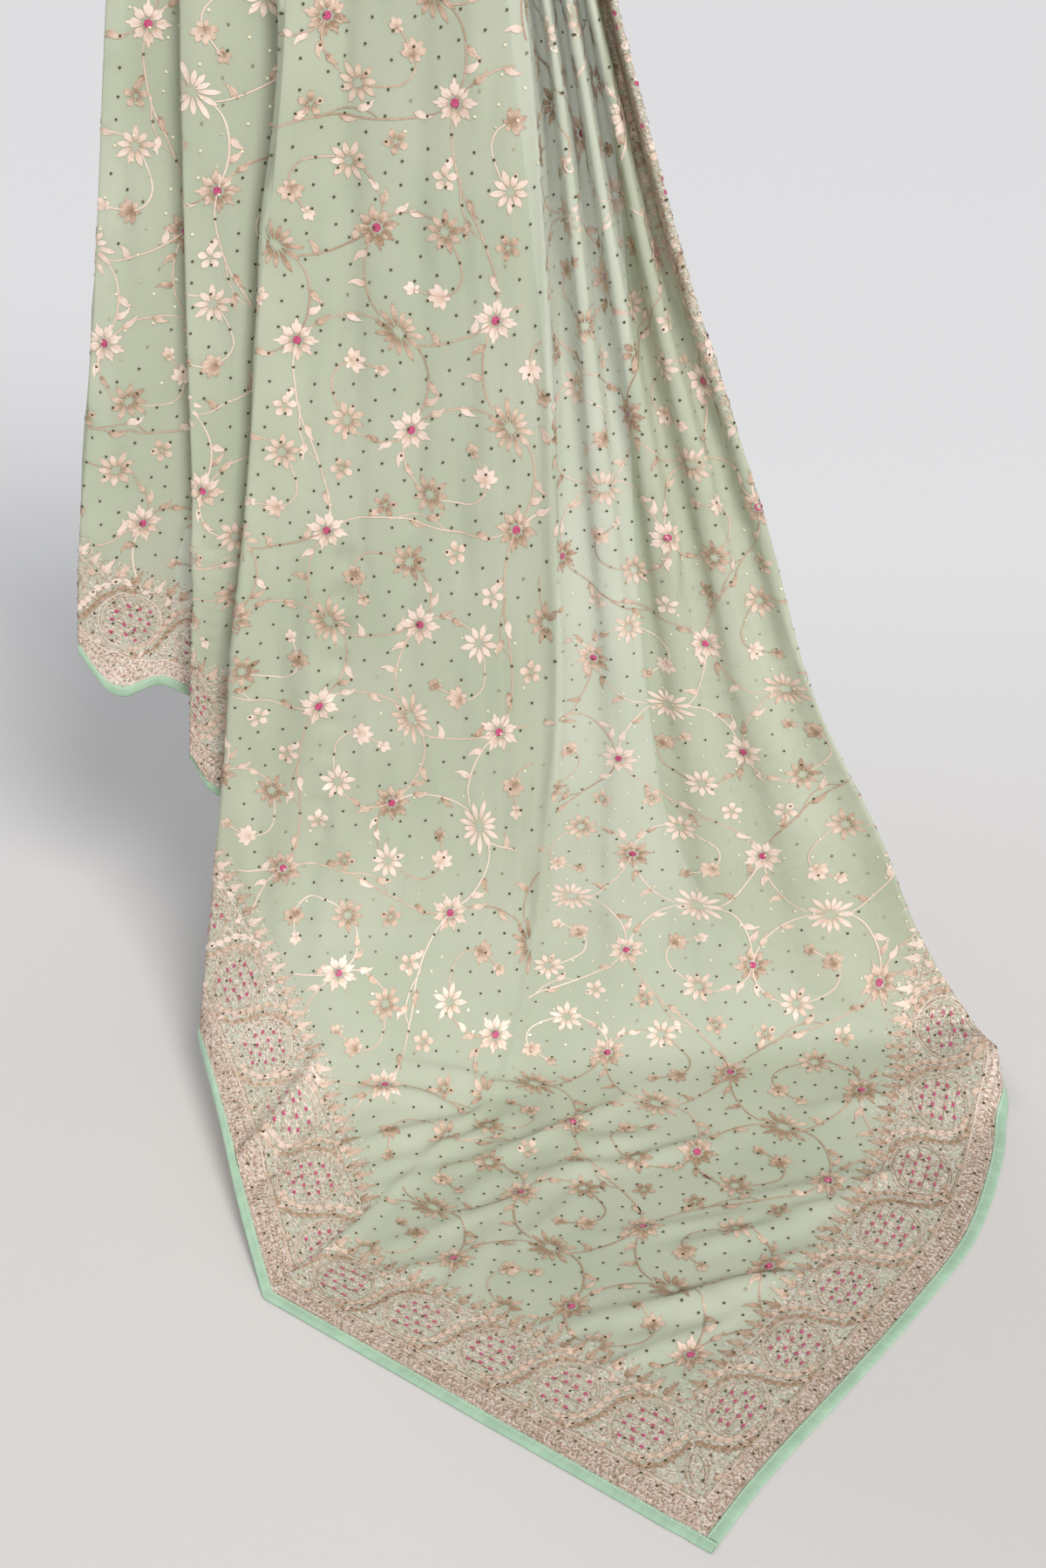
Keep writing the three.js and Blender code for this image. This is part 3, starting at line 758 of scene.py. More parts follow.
def bloom_cell(shapes, i, j):
    """Two curved vines that cross the cell and meet in a wide bloom."""
    def place(points):
        return [cell_point(i, j, a, b) for a, b in points]

    bloom(shapes, place([(0.48, 0.5)])[0], 0.15)
    for vine, tone in (
        ([(1, 0), (0.97, 0.15), (0.88, 0.31), (0.76, 0.42), (0.63, 0.49)], 0.1),
        ([(0.34, 0.5), (0.26, 0.56), (0.16, 0.68), (0.07, 0.82), (0, 1)], 0.0),
        ([(1, 1), (0.97, 0.84), (0.9, 0.7), (0.78, 0.57), (0.65, 0.51)], 0.0),
        ([(0.33, 0.5), (0.22, 0.45), (0.12, 0.35), (0.04, 0.2), (0, 0)], 0.1),
    ):
        stroke(shapes, place(vine), VINE, tone)
    for at, angle in (((0.84, 0.36), 2.9), ((0.2, 0.6), 0.4), ((0.84, 0.63), -0.6), ((0.12, 0.35), 3.3),
                      ((0.96, 0.17), 1.9), ((0.07, 0.82), 1.2), ((0.96, 0.83), -1.3), ((0.04, 0.2), 1.9)):
        leaf_pair(shapes, place([at])[0], angle, 11.5)


def repeat_unit():
    """Two lattice steps each way: a row of bloom cells and a row of leafy ones."""
    shapes = Shapes()
    for i in (0, 1):
        for j in (0, 1):
            flower(shapes, cell_point(i, j, 0, 0), turn=0.2 + 0.3 * i - 0.2 * j)
    bloom_cell(shapes, 0, 0)
    bloom_cell(shapes, 1, 0)
    leaf_cell(shapes, 0, 1, True)
    leaf_cell(shapes, 1, 1, False)
    return shapes


def dot_unit():
    """Small metal discs strewn at an even spacing."""
    shapes = Shapes()
    place = np.random.default_rng(3)
    steps = 12
    for i in range(steps):
        for j in range(steps):
            x, y = (np.array([i + 0.5 * (j % 2), j]) + place.uniform(-0.16, 0.16, 2)) * 2 * PITCH / steps
            disc(shapes, (x, y), 1.15, 5, float(place.uniform(-0.5, 0.5)), DOT)
    return shapes


BORDER = 105.0
BORDER_PITCH = 68.0
DIVIDER = [(10, 85), (24, 80), (32.5, 68), (34.5, 54), (38.5, 41), (49, 32), (57, 31)]
COMB = [(0.0, 15.5, 4.6, -0.3), (0.62, 8.0, 2.6, -0.1), (-0.62, 8.0, 2.6, -0.4)]
LOOSE_LEAVES = [((-22, 76), 1.2, 8), ((-24, 36), -1.2, 7), ((6, 83), 2.6, 7), ((12, 32), -0.6, 7)]


def border_unit():
    """One step of the woven border: x runs along the edge and y is the distance in from it."""
    shapes = Shapes()
    centre = np.array([0.0, 56.0])

    def ring(rx, ry, width, tone, start=0.0, stop=2 * math.pi, lean=0.3):
        a = np.linspace(start, stop, 25)
        pts = [(centre[0] + rx * math.cos(t) + lean * ry * math.sin(t) * 0.5,
                centre[1] + ry * math.sin(t)) for t in a]
        stroke(shapes, pts, width, tone, spacing=3.2, taper=0.0, per_element=2)

    shapes.group = 1
    ring(26.5, 24, 0.8, 0.3)
    ring(23.5, 21.5, 0.6, -0.2)
    rows = ((-13, 15, 3), (-4.5, 19, 4), (4.5, 19, 4), (13, 15, 3))
    for y, half, count in rows:
        stroke(shapes, [(centre[0] - half - 2, centre[1] + y - 1), (centre[0] + half + 2, centre[1] + y + 1)],
               0.7, -0.4, spacing=5.0, taper=0.2)
        for k in range(count):
            at = centre + (half * (2 * k + 1 - count) / count, y + 1.2 * math.sin(2.1 * k + y))
            petal(shapes, at - (1.9, 0.4), 0.25, 4.2, 2.5, 0.0, PINK)
            petal(shapes, at + (2.0, 0.1), 0.2, 3.2, 1.7, 0.7)
            petal(shapes, at + (-1.0, 3.2), 0.5, 3.0, 1.4, 0.6)
    for shift_x, shift_y, tone in ((-2.5, -2.0, -0.5), (4.0, 3.0, 0.4)):
        shapes.group += 1
        spine = [(x + shift_x, y + shift_y) for x, y in DIVIDER]
        stroke(shapes, spine, 1.5, tone, taper=0.6, per_element=3)
        for k in range(11):
            here, ahead = along(spine, 0.03 + 0.085 * k), along(spine, 0.07 + 0.085 * k)
            turn = math.atan2(ahead[1] - here[1], ahead[0] - here[0])
            petal(shapes, here, turn + 0.5, 8.0, 3.1, tone, fullness=0.5, curl=-0.3)
            petal(shapes, here, turn - 0.5, 7.0, 2.7, tone * 0.7, fullness=0.5, curl=0.3)
    shapes.group += 1
    for y, width, tone in ((10.8, 0.8, 0.2), (27.0, 1.2, 0.6), (29.4, 0.6, -0.3), (83.0, 0.7, 0.1)):
        stroke(shapes, [(-34, y), (-17, y), (0, y), (17, y), (34, y)], width, tone, taper=0.0, per_element=2)
    for k in range(17):
        x = -34 + 4 * k
        petal(shapes, (x, 12.4), 1.1, 6.0, 1.5, 0.4 * math.cos(k * 2.4))
        petal(shapes, (x + 2, 19.0), 2.0, 6.0, 1.5, 0.4 * math.sin(k * 1.7))
    for k in range(6):
        shapes.group += 1
        x = -34 + BORDER_PITCH * (k + 0.5) / 6
        for turn, size, wide, tone in COMB:
            petal(shapes, (x, 86.5), math.pi / 2 + 0.12 + turn, size, wide, tone, fullness=0.34)
    for at, angle, size in LOOSE_LEAVES:
        leaf_pair(shapes, at, angle, size)
    return shapes


def soft_ridges(x, y, seed, count, box, lengths, widths, heights, lean, lean_spread):
    """Uneven soft ridges strewn over a box of (x, y)."""
    place = np.random.default_rng(seed)
    out = np.zeros(x.shape)
    for _ in range(count):
        cx, cy = place.uniform(box[0], box[1]), place.uniform(box[2], box[3])
        length, width = place.uniform(*lengths), place.uniform(*widths)
        height = place.uniform(*heights)
        angle = lean + place.normal(0, lean_spread)
        bow = place.uniform(-0.12, 0.12)
        dx, dy = x - cx, y - cy
        a = dx * math.cos(angle) + dy * math.sin(angle)
        b = -dx * math.sin(angle) + dy * math.cos(angle) - bow * a * a / length
        out += height * np.exp(-(b / width) ** 2) * np.exp(-(a / length) ** 4)
    return out


def crease(x, y, path, width, height):
    """One soft ridge (or trough, if height is below 0) along a path in (x, y), fading at its ends."""
    pts = smoothed(path, 40)
    best = np.full(x.shape, 1e9)
    where = np.zeros(x.shape)
    for k, (px, py) in enumerate(pts):
        d = (x - px) ** 2 + (y - py) ** 2
        closer = d < best
        best = np.where(closer, d, best)
        where = np.where(closer, k / (len(pts) - 1), where)
    fade = np.clip(np.minimum(where, 1 - where) / 0.3, 0, 1)
    return height * np.exp(-best / width ** 2) * (3 * fade ** 2 - 2 * fade ** 3)


# Each long groove or ridge of the hanging part: its path in (x, height), width and height.
LONG_GROOVES = [
    ([(28, 1300), (24, 1000), (27, 860), (24, 640), (12, 440), (-6, 300), (-21, 187), (-35, 106),
      (-52, 20)], 9, -6.5),
    ([(10, 1000), (8, 640), (-8, 440), (-28, 300), (-42, 187), (-58, 90)], 12, 4.0),
    ([(84, 1300), (80, 1000), (78, 800), (72, 560), (60, 380), (54, 250)], 9, -4.6),
    ([(118, 1200), (122, 900), (118, 700), (124, 520), (116, 380)], 8, 3.6),
    ([(-60, 900), (-62, 640), (-74, 420), (-84, 260)], 9, 3.6),
    ([(-84, 1000), (-86, 640), (-96, 420), (-106, 260)], 7, -3.4),
]
# The same for the folds near the corners on the floor, in (x, y).
CORNER_FOLDS = [
    ([(-100, -352), (-74, -312), (-50, -270), (-24, -222), (0, -180)], 8, 9.0),
    ([(-80, -360), (-54, -318), (-32, -276), (-6, -228)], 9, -5.0),
    ([(562, -196), (546, -168), (520, -140), (490, -120)], 9, 8.0),
]
# Each rolled fold edge: its line, the lines on both sides, how far it stands out and its width.
ROLLED_FOLDS = [("f4.a", "j", "f5.a", 13.0, 24.0), ("f6.a", "f5.b", "f7.a", 9.0, 17.0)]
UPRIGHT = math.pi / 2
# Each set of strewn ridges: seed, count, the box of their middles, the ranges of their lengths,
# widths and heights, and their mean lean with its spread.
CRINKLES = (11, 230, (-210, 330, 60, 1350), (28, 75), (4, 8.5), (-2.5, 2.5), UPRIGHT, 0.1)
HANGING_FOLDS = (12, 34, (-130, 180, 120, 1300), (90, 220), (9, 17), (-4.2, 4.2), UPRIGHT - 0.03, 0.03)
RIGHT_FOOT = (14, 26, (150, 470, 20, 240), (25, 60), (7, 13), (-2.0, 2.6), -0.7, 0.25)
FLOOR_RIPPLES = (21, 46, (40, 520, -560, -170), (26, 75), (5, 9.5), (2.0, 6.0), 0.36, 0.14)
LEFT_RIPPLES = (22, 18, (-110, 190, -430, -160), (25, 60), (7, 13), (1.2, 4.4), 1.0, 0.3)
REAR_FOLDS = (41, 44, (-90, 190, 150, 1380), (110, 300), (9, 17), (-4.4, 4.4), UPRIGHT + 0.03, 0.05)
REAR_CRINKLES = (42, 90, (-90, 190, 120, 1380), (30, 80), (6, 10), (-1.4, 1.4), UPRIGHT, 0.1)


def crease_front(grid, edge):
    """Soft creases over the hanging part and ripples over the part on the floor."""
    from_rim = rise(edge, 7, 30)
    normal = grid_normals(grid)
    flip = np.sign(normal[:, :, 1])
    x, y, z = grid[..., 0], grid[..., 1], grid[..., 2] - FLOOR
    hang = rise(z, 40, 120)
    out = soft_ridges(x, z, *CRINKLES)
    out += soft_ridges(x, z, *HANGING_FOLDS)
    for path, width, height in LONG_GROOVES:
        out += crease(x, z, path, width, height)
    bottom = soft_ridges(x, z, *RIGHT_FOOT)
    side = rise(z, 6, 30)
    shift = from_rim * flip * (out * hang + bottom * side * rise(x, 150, 60))
    moved = grid - normal * shift[..., None] * np.array([1.0, 1.0, 0.0])
    ripple = soft_ridges(x, y, *FLOOR_RIPPLES)
    ripple += soft_ridges(x, y, *LEFT_RIPPLES)
    near_rim = rise(x, 500, 40)
    flat_part = rise(z, 70, -50) * (1 - 0.6 * near_rim)
    from_border = rise(edge, 55, 60)
    moved[..., 2] += ripple * flat_part * from_border * from_rim
    fold = sum(crease(x, y, path, width, height) for path, width, height in CORNER_FOLDS)
    moved[..., 2] += fold * rise(z, 110, -60) * rise(edge, 3, 14)
    d = run_across(grid)
    d = d - d[:, first_flute:first_flute + 1]
    low = rise(z, 760, -200)
    ridge = 3.4 * np.exp(-((d + 1.0) / 5.5) ** 2) - 2.4 * np.exp(-((d - 11.0) / 8.0) ** 2) * hang
    moved -= normal * (ridge * low * from_rim * np.where(hang > 0, flip, -np.sign(normal[..., 2])))[..., None]
    tall = rise(z, 170, 160) * rise(z, 1360, -200)
    for fold, first, last, reach, width in ROLLED_FOLDS:
        a, b = column_of[first], column_of[last]
        from_fold = x[:, a:b] - x[:, column_of[fold]][:, None]
        moved[:, a:b, 1] -= reach * tall[:, a:b] * np.exp(-(from_fold / width) ** 2)
    moved[..., 2] = np.maximum(moved[..., 2], FLOOR + 0.6)
    return moved


# How far each hanging hem sags below the straight line between its folds, by the share across.
HEM_SAG = {
    "f8.a": ([0, 0.12, 0.25, 0.42, 0.58, 0.7, 0.82, 0.93, 1], [0, 6, 5, 3, 14, 24, 24, 12, 0]),
    "f6.a": ([0, 0.4, 0.7, 0.8, 0.9, 0.96, 1], [0, 12, 25, 26, 23, 12, 0]),
}


def hem_sag(divide):
    """The sag of every column of the end row."""
    sag = [0.0]
    for i in range(1, len(LINES)):
        count = FOLD_TURN if is_pair(i) else divide.get(LINES[i], divide["other"]) + 1
        if LINES[i] in HEM_SAG:
            shares, falls = HEM_SAG[LINES[i]]
            smooth = smoothed([(100 * share, fall) for share, fall in zip(shares, falls)], 120)
            sag += list(np.interp(100 * np.arange(1, count + 1) / count, smooth[:, 0], smooth[:, 1]))
        else:
            sag += [0.0] * count
    return np.array(sag)


def panel_columns(divide):
    """Column numbers of each control line, and the coarse columns used to flatten the cloth."""
    at = {LINES[0]: 0}
    used = [0]
    c = 0
    for i in range(1, len(LINES)):
        if is_pair(i):
            used += [c + FOLD_TURN // 2, c + FOLD_TURN]
            c += FOLD_TURN
        else:
            n = divide.get(LINES[i], divide["other"]) + 1
            parts = 4 if n > 20 else 2 if n > 7 else 1
            used += [c + round(n * (j + 1) / parts) for j in range(parts)]
            c += n
        at[LINES[i]] = c
    return at, used


FRONT_COUNTS = [40, 40, 80]
front_ctrl = front_control(FRONT_COUNTS)
front_mid = across_rows(pulled_in(front_ctrl[:-1], EDGE_TUCK), FINE, FOLD_TURN)
column_of, coarse_columns = panel_columns(FINE)
first_flute = column_of["g"]
coarse_rows = list(range(0, len(front_mid) - 1, 5)) + [len(front_mid) - 1]
HEM_FULL = 110
HEM_FADE = 280
end_sag = hem_sag(FINE)
above_end = run_down(front_mid)
above_end = above_end[-1:] - above_end
front_mid[..., 2] -= end_sag * np.clip(1 - (above_end - HEM_FULL) / HEM_FADE, 0, 1)

# The front is cut flat in two parts, which meet along the first flute.
right_cols = [c for c in coarse_columns if c <= first_flute]
left_cols = [c - first_flute for c in coarse_columns if c >= first_flute]
front_right = front_mid[:, :first_flute + 1]
front_left = front_mid[:, first_flute:]
flat_right = flatten(front_right[coarse_rows][:, right_cols], 30, True)
flat_left = flatten(front_left[coarse_rows][:, left_cols], 60, False)
uv_right = spread_flat(flat_right, coarse_rows, right_cols, front_right)
uv_left = spread_flat(flat_left, coarse_rows, left_cols, front_left)
uv_right[..., 0] += EDGE_TUCK
uv_right[..., 1] += PIPING_WIDTH
uv_left[..., 1] += PIPING_WIDTH
left_run = run_across(front_left)
from_left = left_run[:, -1:] - left_run + EDGE_TUCK
edge_right = np.minimum(uv_right[..., 0], uv_right[..., 1])
edge_left = np.minimum(uv_left[..., 1], from_left)
front_edge = np.concatenate([edge_right, edge_left[:, 1:]], axis=1)
front_mid = crease_front(front_mid, front_edge)


class Carrier:
    """A stretch of cloth that flat shapes can be laid on, by coordinates of its own."""

    def __init__(self, grid, coords, edge):
        rows, cols = grid.shape[:2]
        self.tris = grid_triangles(rows, cols)
        self.points = grid.reshape(-1, 3)
        self.normals = grid_normals(grid).reshape(-1, 3)
        self.coords = coords.reshape(-1, 2)
        self.edge = edge.reshape(-1)
        flat = [(x, y, 0.0) for x, y in self.coords.tolist()]
        self.tree = BVHTree.FromPolygons(flat, self.tris.tolist(), all_triangles=True)

    def find(self, places):
        """The triangle, weights and miss of each flat place."""
        n = len(places)
        index = np.zeros(n, int)
        hit = np.zeros((n, 2))
        for k, (x, y) in enumerate(places.tolist()):
            at, _, i, _ = self.tree.find_nearest((x, y, 0.0))
            index[k] = i
            hit[k] = (at[0], at[1])
        a, b, c = (self.coords[self.tris[index, k]] for k in range(3))
        v0, v1, v2 = b - a, c - a, hit - a
        den = v0[:, 0] * v1[:, 1] - v1[:, 0] * v0[:, 1]
        den = np.where(np.abs(den) < 1e-9, 1e-9, den)
        w1 = np.clip((v2[:, 0] * v1[:, 1] - v1[:, 0] * v2[:, 1]) / den, 0, 1)
        w2 = np.clip((v0[:, 0] * v2[:, 1] - v2[:, 0] * v0[:, 1]) / den, 0, 1)
        weights = np.stack([np.clip(1 - w1 - w2, 0, 1), w1, w2], axis=1)
        return self.tris[index], weights, np.linalg.norm(places - hit, axis=1)

    def blend(self, values, tris, weights):
        parts = [values[tris[:, k]] * (weights[:, k, None] if values.ndim > 1 else weights[:, k])
                 for k in range(3)]
        return parts[0] + parts[1] + parts[2]


LIFT = {ZARI: 0.45, PINK: 0.85, DOT: 0.95}
# A shape is dropped where its middle, or any point of it, misses the cloth by more than this.
MIDDLE_MISS = 0.5
POINT_MISS = 1.2
# How near the edge each layer of the pattern may come.
FIELD_MARGIN = BORDER - 6
DISC_MARGIN = 10
BORDER_MARGIN = 9.2


def painted_glint(normal, own):
    """Painted reflection: metal thread is made bright on slopes, middling where it hangs and brown where
    it lies flat, by the way the cloth faces. Hanging flowers differ most from each other."""
    flat = np.abs(normal[:, 2])
    level = np.interp(flat, [0.0, 0.12, 0.4, 0.75, 0.97, 1.0], [0.12, 0.12, 0.14, 0.05, -0.42, -0.55])
    spread = np.interp(flat, [0.0, 0.3, 0.7, 0.95, 1.0], [0.5, 0.45, 0.35, 0.2, 0.15])
    return level + spread * own


def lay_shapes(carrier, shapes, offsets, keep, swap=False, face=1.0, bias=0.0):
    """Copies of the shapes at each offset, carried onto the cloth. keep(place, edge) chooses the
    elements by their centres. Returns points, triangles, tone and kind for a mesh."""
    points, tris, element, centres, tones, kinds, groups, shades = shapes.arrays()
    stagger = 0.035 * (np.arange(len(centres)) % 7)
    offsets = np.asarray(offsets, float)
    if swap:
        points, centres = points[:, ::-1], centres[:, ::-1]
    all_centres = (offsets[:, None, :] + centres[None]).reshape(-1, 2)
    found, weights, miss = carrier.find(all_centres)
    edge = carrier.blend(carrier.edge, found, weights)
    good = (miss < MIDDLE_MISS) & keep(all_centres, edge)
    good = good.reshape(len(offsets), len(centres))
    out_points, out_tris, out_tone, out_kind = [], [], [], []
    total = 0
    place = np.random.default_rng(5)
    for k, offset in enumerate(offsets):
        use = good[k]
        if not use.any():
            continue
        on = use[element]
        renumber = np.cumsum(on) - 1
        where = points[on] + offset
        found, weights, miss = carrier.find(where)
        element_miss = np.zeros(len(centres))
        np.maximum.at(element_miss, element[on], miss)
        lost = element_miss[element] > POINT_MISS
        keep_tri = on[tris[:, 0]] & ~lost[tris[:, 0]]
        centre = carrier.blend(carrier.points, found, weights)
        normal = unit(carrier.blend(carrier.normals, found, weights))
        kind = kinds[element[on]]
        lift = np.select([kind == ZARI, kind == PINK], [LIFT[ZARI], LIFT[PINK]], LIFT[DOT])
        lift = lift + stagger[element[on]]
        out_points.append(centre + normal * (face * lift)[:, None])
        own = (1.4 * np.tanh(1.3 * place.normal(0, 1, groups.max() + 1)))[groups]
        shade = tones * 0.8 + 0.1 * place.normal(0, 1, len(tones))
        # The tone takes painted reflection from painted_glint, by the slope of the cloth at each point.
        out_tone.append(shade[element[on]] + shades[on] + painted_glint(normal, own[element[on]]) + bias)
        out_tris.append(renumber[tris[keep_tri]] + total)
        out_kind.append(kinds[element[tris[keep_tri][:, 0]]])
        total += int(on.sum())
    if not out_points:
        return None
    return (np.vstack(out_points), np.vstack(out_tris), np.concatenate(out_tone), np.concatenate(out_kind))


def joined(parts):
    parts = [p for p in parts if p is not None]
    points, tris, tone, kind = [], [], [], []
    total = 0
    for p in parts:
        points.append(p[0])
        tris.append(p[1] + total)
        tone.append(p[2])
        kind.append(p[3])
        total += len(p[0])
    return np.vstack(points), np.vstack(tris), np.concatenate(tone), np.concatenate(kind)


def used_only(points, tris, tone):
    used = np.unique(tris)
    back = np.full(len(points), -1)
    back[used] = np.arange(len(used))
    return points[used], back[tris], tone[used]


def new_mesh(name, points, faces, materials, smooth=True):
    mesh = bpy.data.meshes.new(name)
    mesh.from_pydata((np.asarray(points) / 1000.0).tolist(), [], np.asarray(faces).tolist())
    for material in materials:
        mesh.materials.append(material)
    mesh.polygons.foreach_set("use_smooth", np.full(len(mesh.polygons), smooth))
    mesh.update()
    obj = bpy.data.objects.new(name, mesh)
    bpy.context.scene.collection.objects.link(obj)
    return obj


def on_root(obj, node=None):
    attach(obj, "root")
    if node:
        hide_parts(node)
    return obj


def set_floats(mesh, name, values):
    layer = mesh.attributes.new(name, "FLOAT", "POINT")
    layer.data.foreach_set("value", np.asarray(values, np.float32))


def set_loops(mesh, values):
    """The flat coordinates, one pair for each corner of each face."""
    layer = mesh.uv_layers.new(name="flat")
    layer.data.foreach_set("uv", np.asarray(values, np.float32).ravel())


def set_flat(mesh, values):
    """The flat coordinates, one pair for each point."""
    loops = np.zeros(len(mesh.loops), np.int32)
    mesh.loops.foreach_get("vertex_index", loops)
    set_loops(mesh, np.asarray(values, np.float32)[loops])


# Colours are given as they look on a screen.
def colour(r, g, b):
    def linear(v):
        return v / 12.92 if v <= 0.04045 else ((v + 0.055) / 1.055) ** 2.4
    return (linear(r), linear(g), linear(b), 1.0)


MINT = colour(0.822, 0.84, 0.757)
MINT_DEEP = colour(0.785, 0.812, 0.718)
ZARI_LIGHT = colour(0.915, 0.835, 0.785)
ZARI_MID = colour(0.83, 0.725, 0.645)
ZARI_TAN = colour(0.60, 0.49, 0.39)
MINT_SLUB = colour(0.70, 0.75, 0.64)
ZARI_WHITE = colour(0.98, 0.92, 0.885)
PINK_DEEP = colour(0.60, 0.15, 0.33)
PINK_PALE = colour(0.80, 0.34, 0.50)
DISC_DARK = colour(0.33, 0.30, 0.20)
DISC_LIGHT = colour(0.97, 0.93, 0.80)
SATIN = colour(0.585, 0.70, 0.60)
SATIN_PALE = colour(0.65, 0.765, 0.66)
SATIN_STITCH = colour(0.74, 0.82, 0.74)
# The floor near and far: the far colour is paler as painted light.
PAPER_NEAR = colour(0.80, 0.784, 0.772)
PAPER_FAR = colour(0.845, 0.842, 0.845)

# The border's stipple of thread: the share it covers, that of the outer band, and its fineness.
STIPPLE_COVER = 0.5
BAND_COVER = 0.42
STIPPLE_SCALE = 620.0


class Nodes:
    """Short calls for a material's nodes."""

    def __init__(self, name):
        self.material = bpy.data.materials.new(name)
        self.material.use_nodes = True
        self.tree = self.material.node_tree
        self.tree.nodes.clear()

    def new(self, kind, sockets=None, **values):
        """A node. Each socket, by name or number, gets a value or another node's output."""
        node = self.tree.nodes.new(kind)
        for key, value in values.items():
            setattr(node, key, value)
        for key, value in (sockets or {}).items():
            if isinstance(value, bpy.types.NodeSocket):
                self.tree.links.new(value, node.inputs[key])
            else:
                node.inputs[key].default_value = value
        return node

    def math(self, operation, a, b=None):
        sockets = {0: a} if b is None else {0: a, 1: b}
        return self.new("ShaderNodeMath", sockets, operation=operation).outputs[0]

    def mix_colour(self, factor, a, b):
        return self.new("ShaderNodeMix", {0: factor, 6: a, 7: b}, data_type="RGBA").outputs[2]

    def mix_shader(self, factor, a, b):
        return self.new("ShaderNodeMixShader", {0: factor, 1: a, 2: b}).outputs[0]

    def ramp(self, value, low, high):
        sockets = {"Value": value, "From Min": low, "From Max": high}
        return self.new("ShaderNodeMapRange", sockets, clamp=True).outputs["Result"]

    def noise(self, vector, scale, detail):
        sockets = {"Vector": vector, "Scale": scale, "Detail": detail, "Roughness": 0.5}
        return self.new("ShaderNodeTexNoise", sockets).outputs["Fac"]

    def bump(self, height, strength, distance):
        sockets = {"Height": height, "Strength": strength, "Distance": distance}
        return self.new("ShaderNodeBump", sockets).outputs["Normal"]

    def attribute(self, name):
        return self.new("ShaderNodeAttribute", attribute_name=name).outputs["Fac"]

    def flat_place(self):
        return self.new("ShaderNodeUVMap", uv_map="flat").outputs["UV"]

    def object_place(self):
        return self.new("ShaderNodeTexCoord").outputs["Object"]

    def skin(self, base, **sockets):
        """A principled surface. A socket's name has _ for each space."""
        named_sockets = {key.replace("_", " "): value for key, value in sockets.items()}
        return self.new("ShaderNodeBsdfPrincipled", {"Base Color": base, **named_sockets}).outputs[0]

    def finished(self, surface):
        self.new("ShaderNodeOutputMaterial", {"Surface": surface})
        return self.material


def cloth_material(name):
    """Sheer crinkled cloth, with a stipple of metal thread where `edge` is inside the border."""
    n = Nodes(name)
    flat = n.flat_place()
    edge = n.attribute("edge")
    base = n.mix_colour(n.ramp(n.noise(flat, 9.0, 2.0), 0.35, 0.65), MINT, MINT_DEEP)
    base = n.mix_colour(n.math("MULTIPLY", n.noise(flat, 420.0, 1.0), 0.10), base, MINT_SLUB)
    inside = n.math("MULTIPLY", n.ramp(edge, 0.104, 0.084), STIPPLE_COVER)
    outer_band = n.math("MULTIPLY", n.ramp(edge, 0.0285, 0.0265), BAND_COVER)
    sockets = {"Vector": flat, "Scale": (1.0, 1.7, 1.0), "Rotation": (0.0, 0.0, 0.7)}
    turned = n.new("ShaderNodeMapping", sockets)
    sockets = {"Vector": turned.outputs["Vector"], "Scale": STIPPLE_SCALE, "Randomness": 1.0}
    fleck = n.new("ShaderNodeTexVoronoi", sockets, feature="F1")
    grain = n.new("ShaderNodeSeparateColor", {0: fleck.outputs["Color"]}).outputs
    is_thread = n.math("LESS_THAN", grain[0], n.math("ADD", inside, outer_band))
    thread = n.mix_colour(n.ramp(grain[1], 0.1, 0.85), ZARI_TAN, ZARI_WHITE)
    final = n.mix_colour(is_thread, base, n.mix_colour(0.12, thread, ZARI_MID))
    weave = n.math("MULTIPLY", n.noise(flat, 1500.0, 1.0), 0.25)
    relief = n.bump(n.math("ADD", weave, n.math("MULTIPLY", is_thread, 0.6)), 0.25, 0.0004)
    cloth = n.skin(final, Normal=relief, Roughness=0.72, Specular_IOR_Level=0.25,
                   Sheen_Weight=0.15, Sheen_Roughness=0.4)
    through = n.new("ShaderNodeBsdfTranslucent", {"Color": final}).outputs[0]
    clear = n.new("ShaderNodeBsdfTransparent", {"Color": (1.0, 1.0, 1.0, 1.0)}).outputs[0]
    open_share = n.math("SUBTRACT", 0.15, n.math("MULTIPLY", is_thread, 0.12))
    return n.finished(n.mix_shader(open_share, n.mix_shader(0.28, cloth, through), clear))


def thread_material(name):
    """Metal thread, from tan to light by the tone of each point, which holds painted reflection."""
    n = Nodes(name)
    where = n.object_place()
    fine = n.math("SUBTRACT", n.noise(where, 900.0, 1.0), 0.5)
    tone = n.math("ADD", n.attribute("tone"), n.math("MULTIPLY", fine, 1.3))
    shade = n.mix_colour(n.ramp(tone, -1.0, 0.0), ZARI_TAN, ZARI_MID)
    shade = n.mix_colour(n.ramp(tone, 0.0, 0.9), shade, ZARI_LIGHT)
    relief = n.bump(n.noise(where, 1400.0, 0.0), 0.35, 0.0003)
    return n.finished(n.skin(shade, Normal=relief, Metallic=0.12, Roughness=0.58))


def pink_material(name):
    n = Nodes(name)
    uneven = n.ramp(n.noise(n.object_place(), 1200.0, 1.0), 0.35, 0.65)
    shade = n.mix_colour(uneven, PINK_DEEP, PINK_PALE)
    return n.finished(n.skin(shade, Roughness=0.55, Sheen_Weight=0.3))


def disc_material(name):
    n = Nodes(name)
    # Painted reflection: each disc is dark or bright metal by its tone, a random share plus painted_glint.
    shade = n.mix_colour(n.ramp(n.attribute("tone"), 0.35, 0.75), DISC_DARK, DISC_LIGHT)
    return n.finished(n.skin(shade, Metallic=0.35, Roughness=0.3))


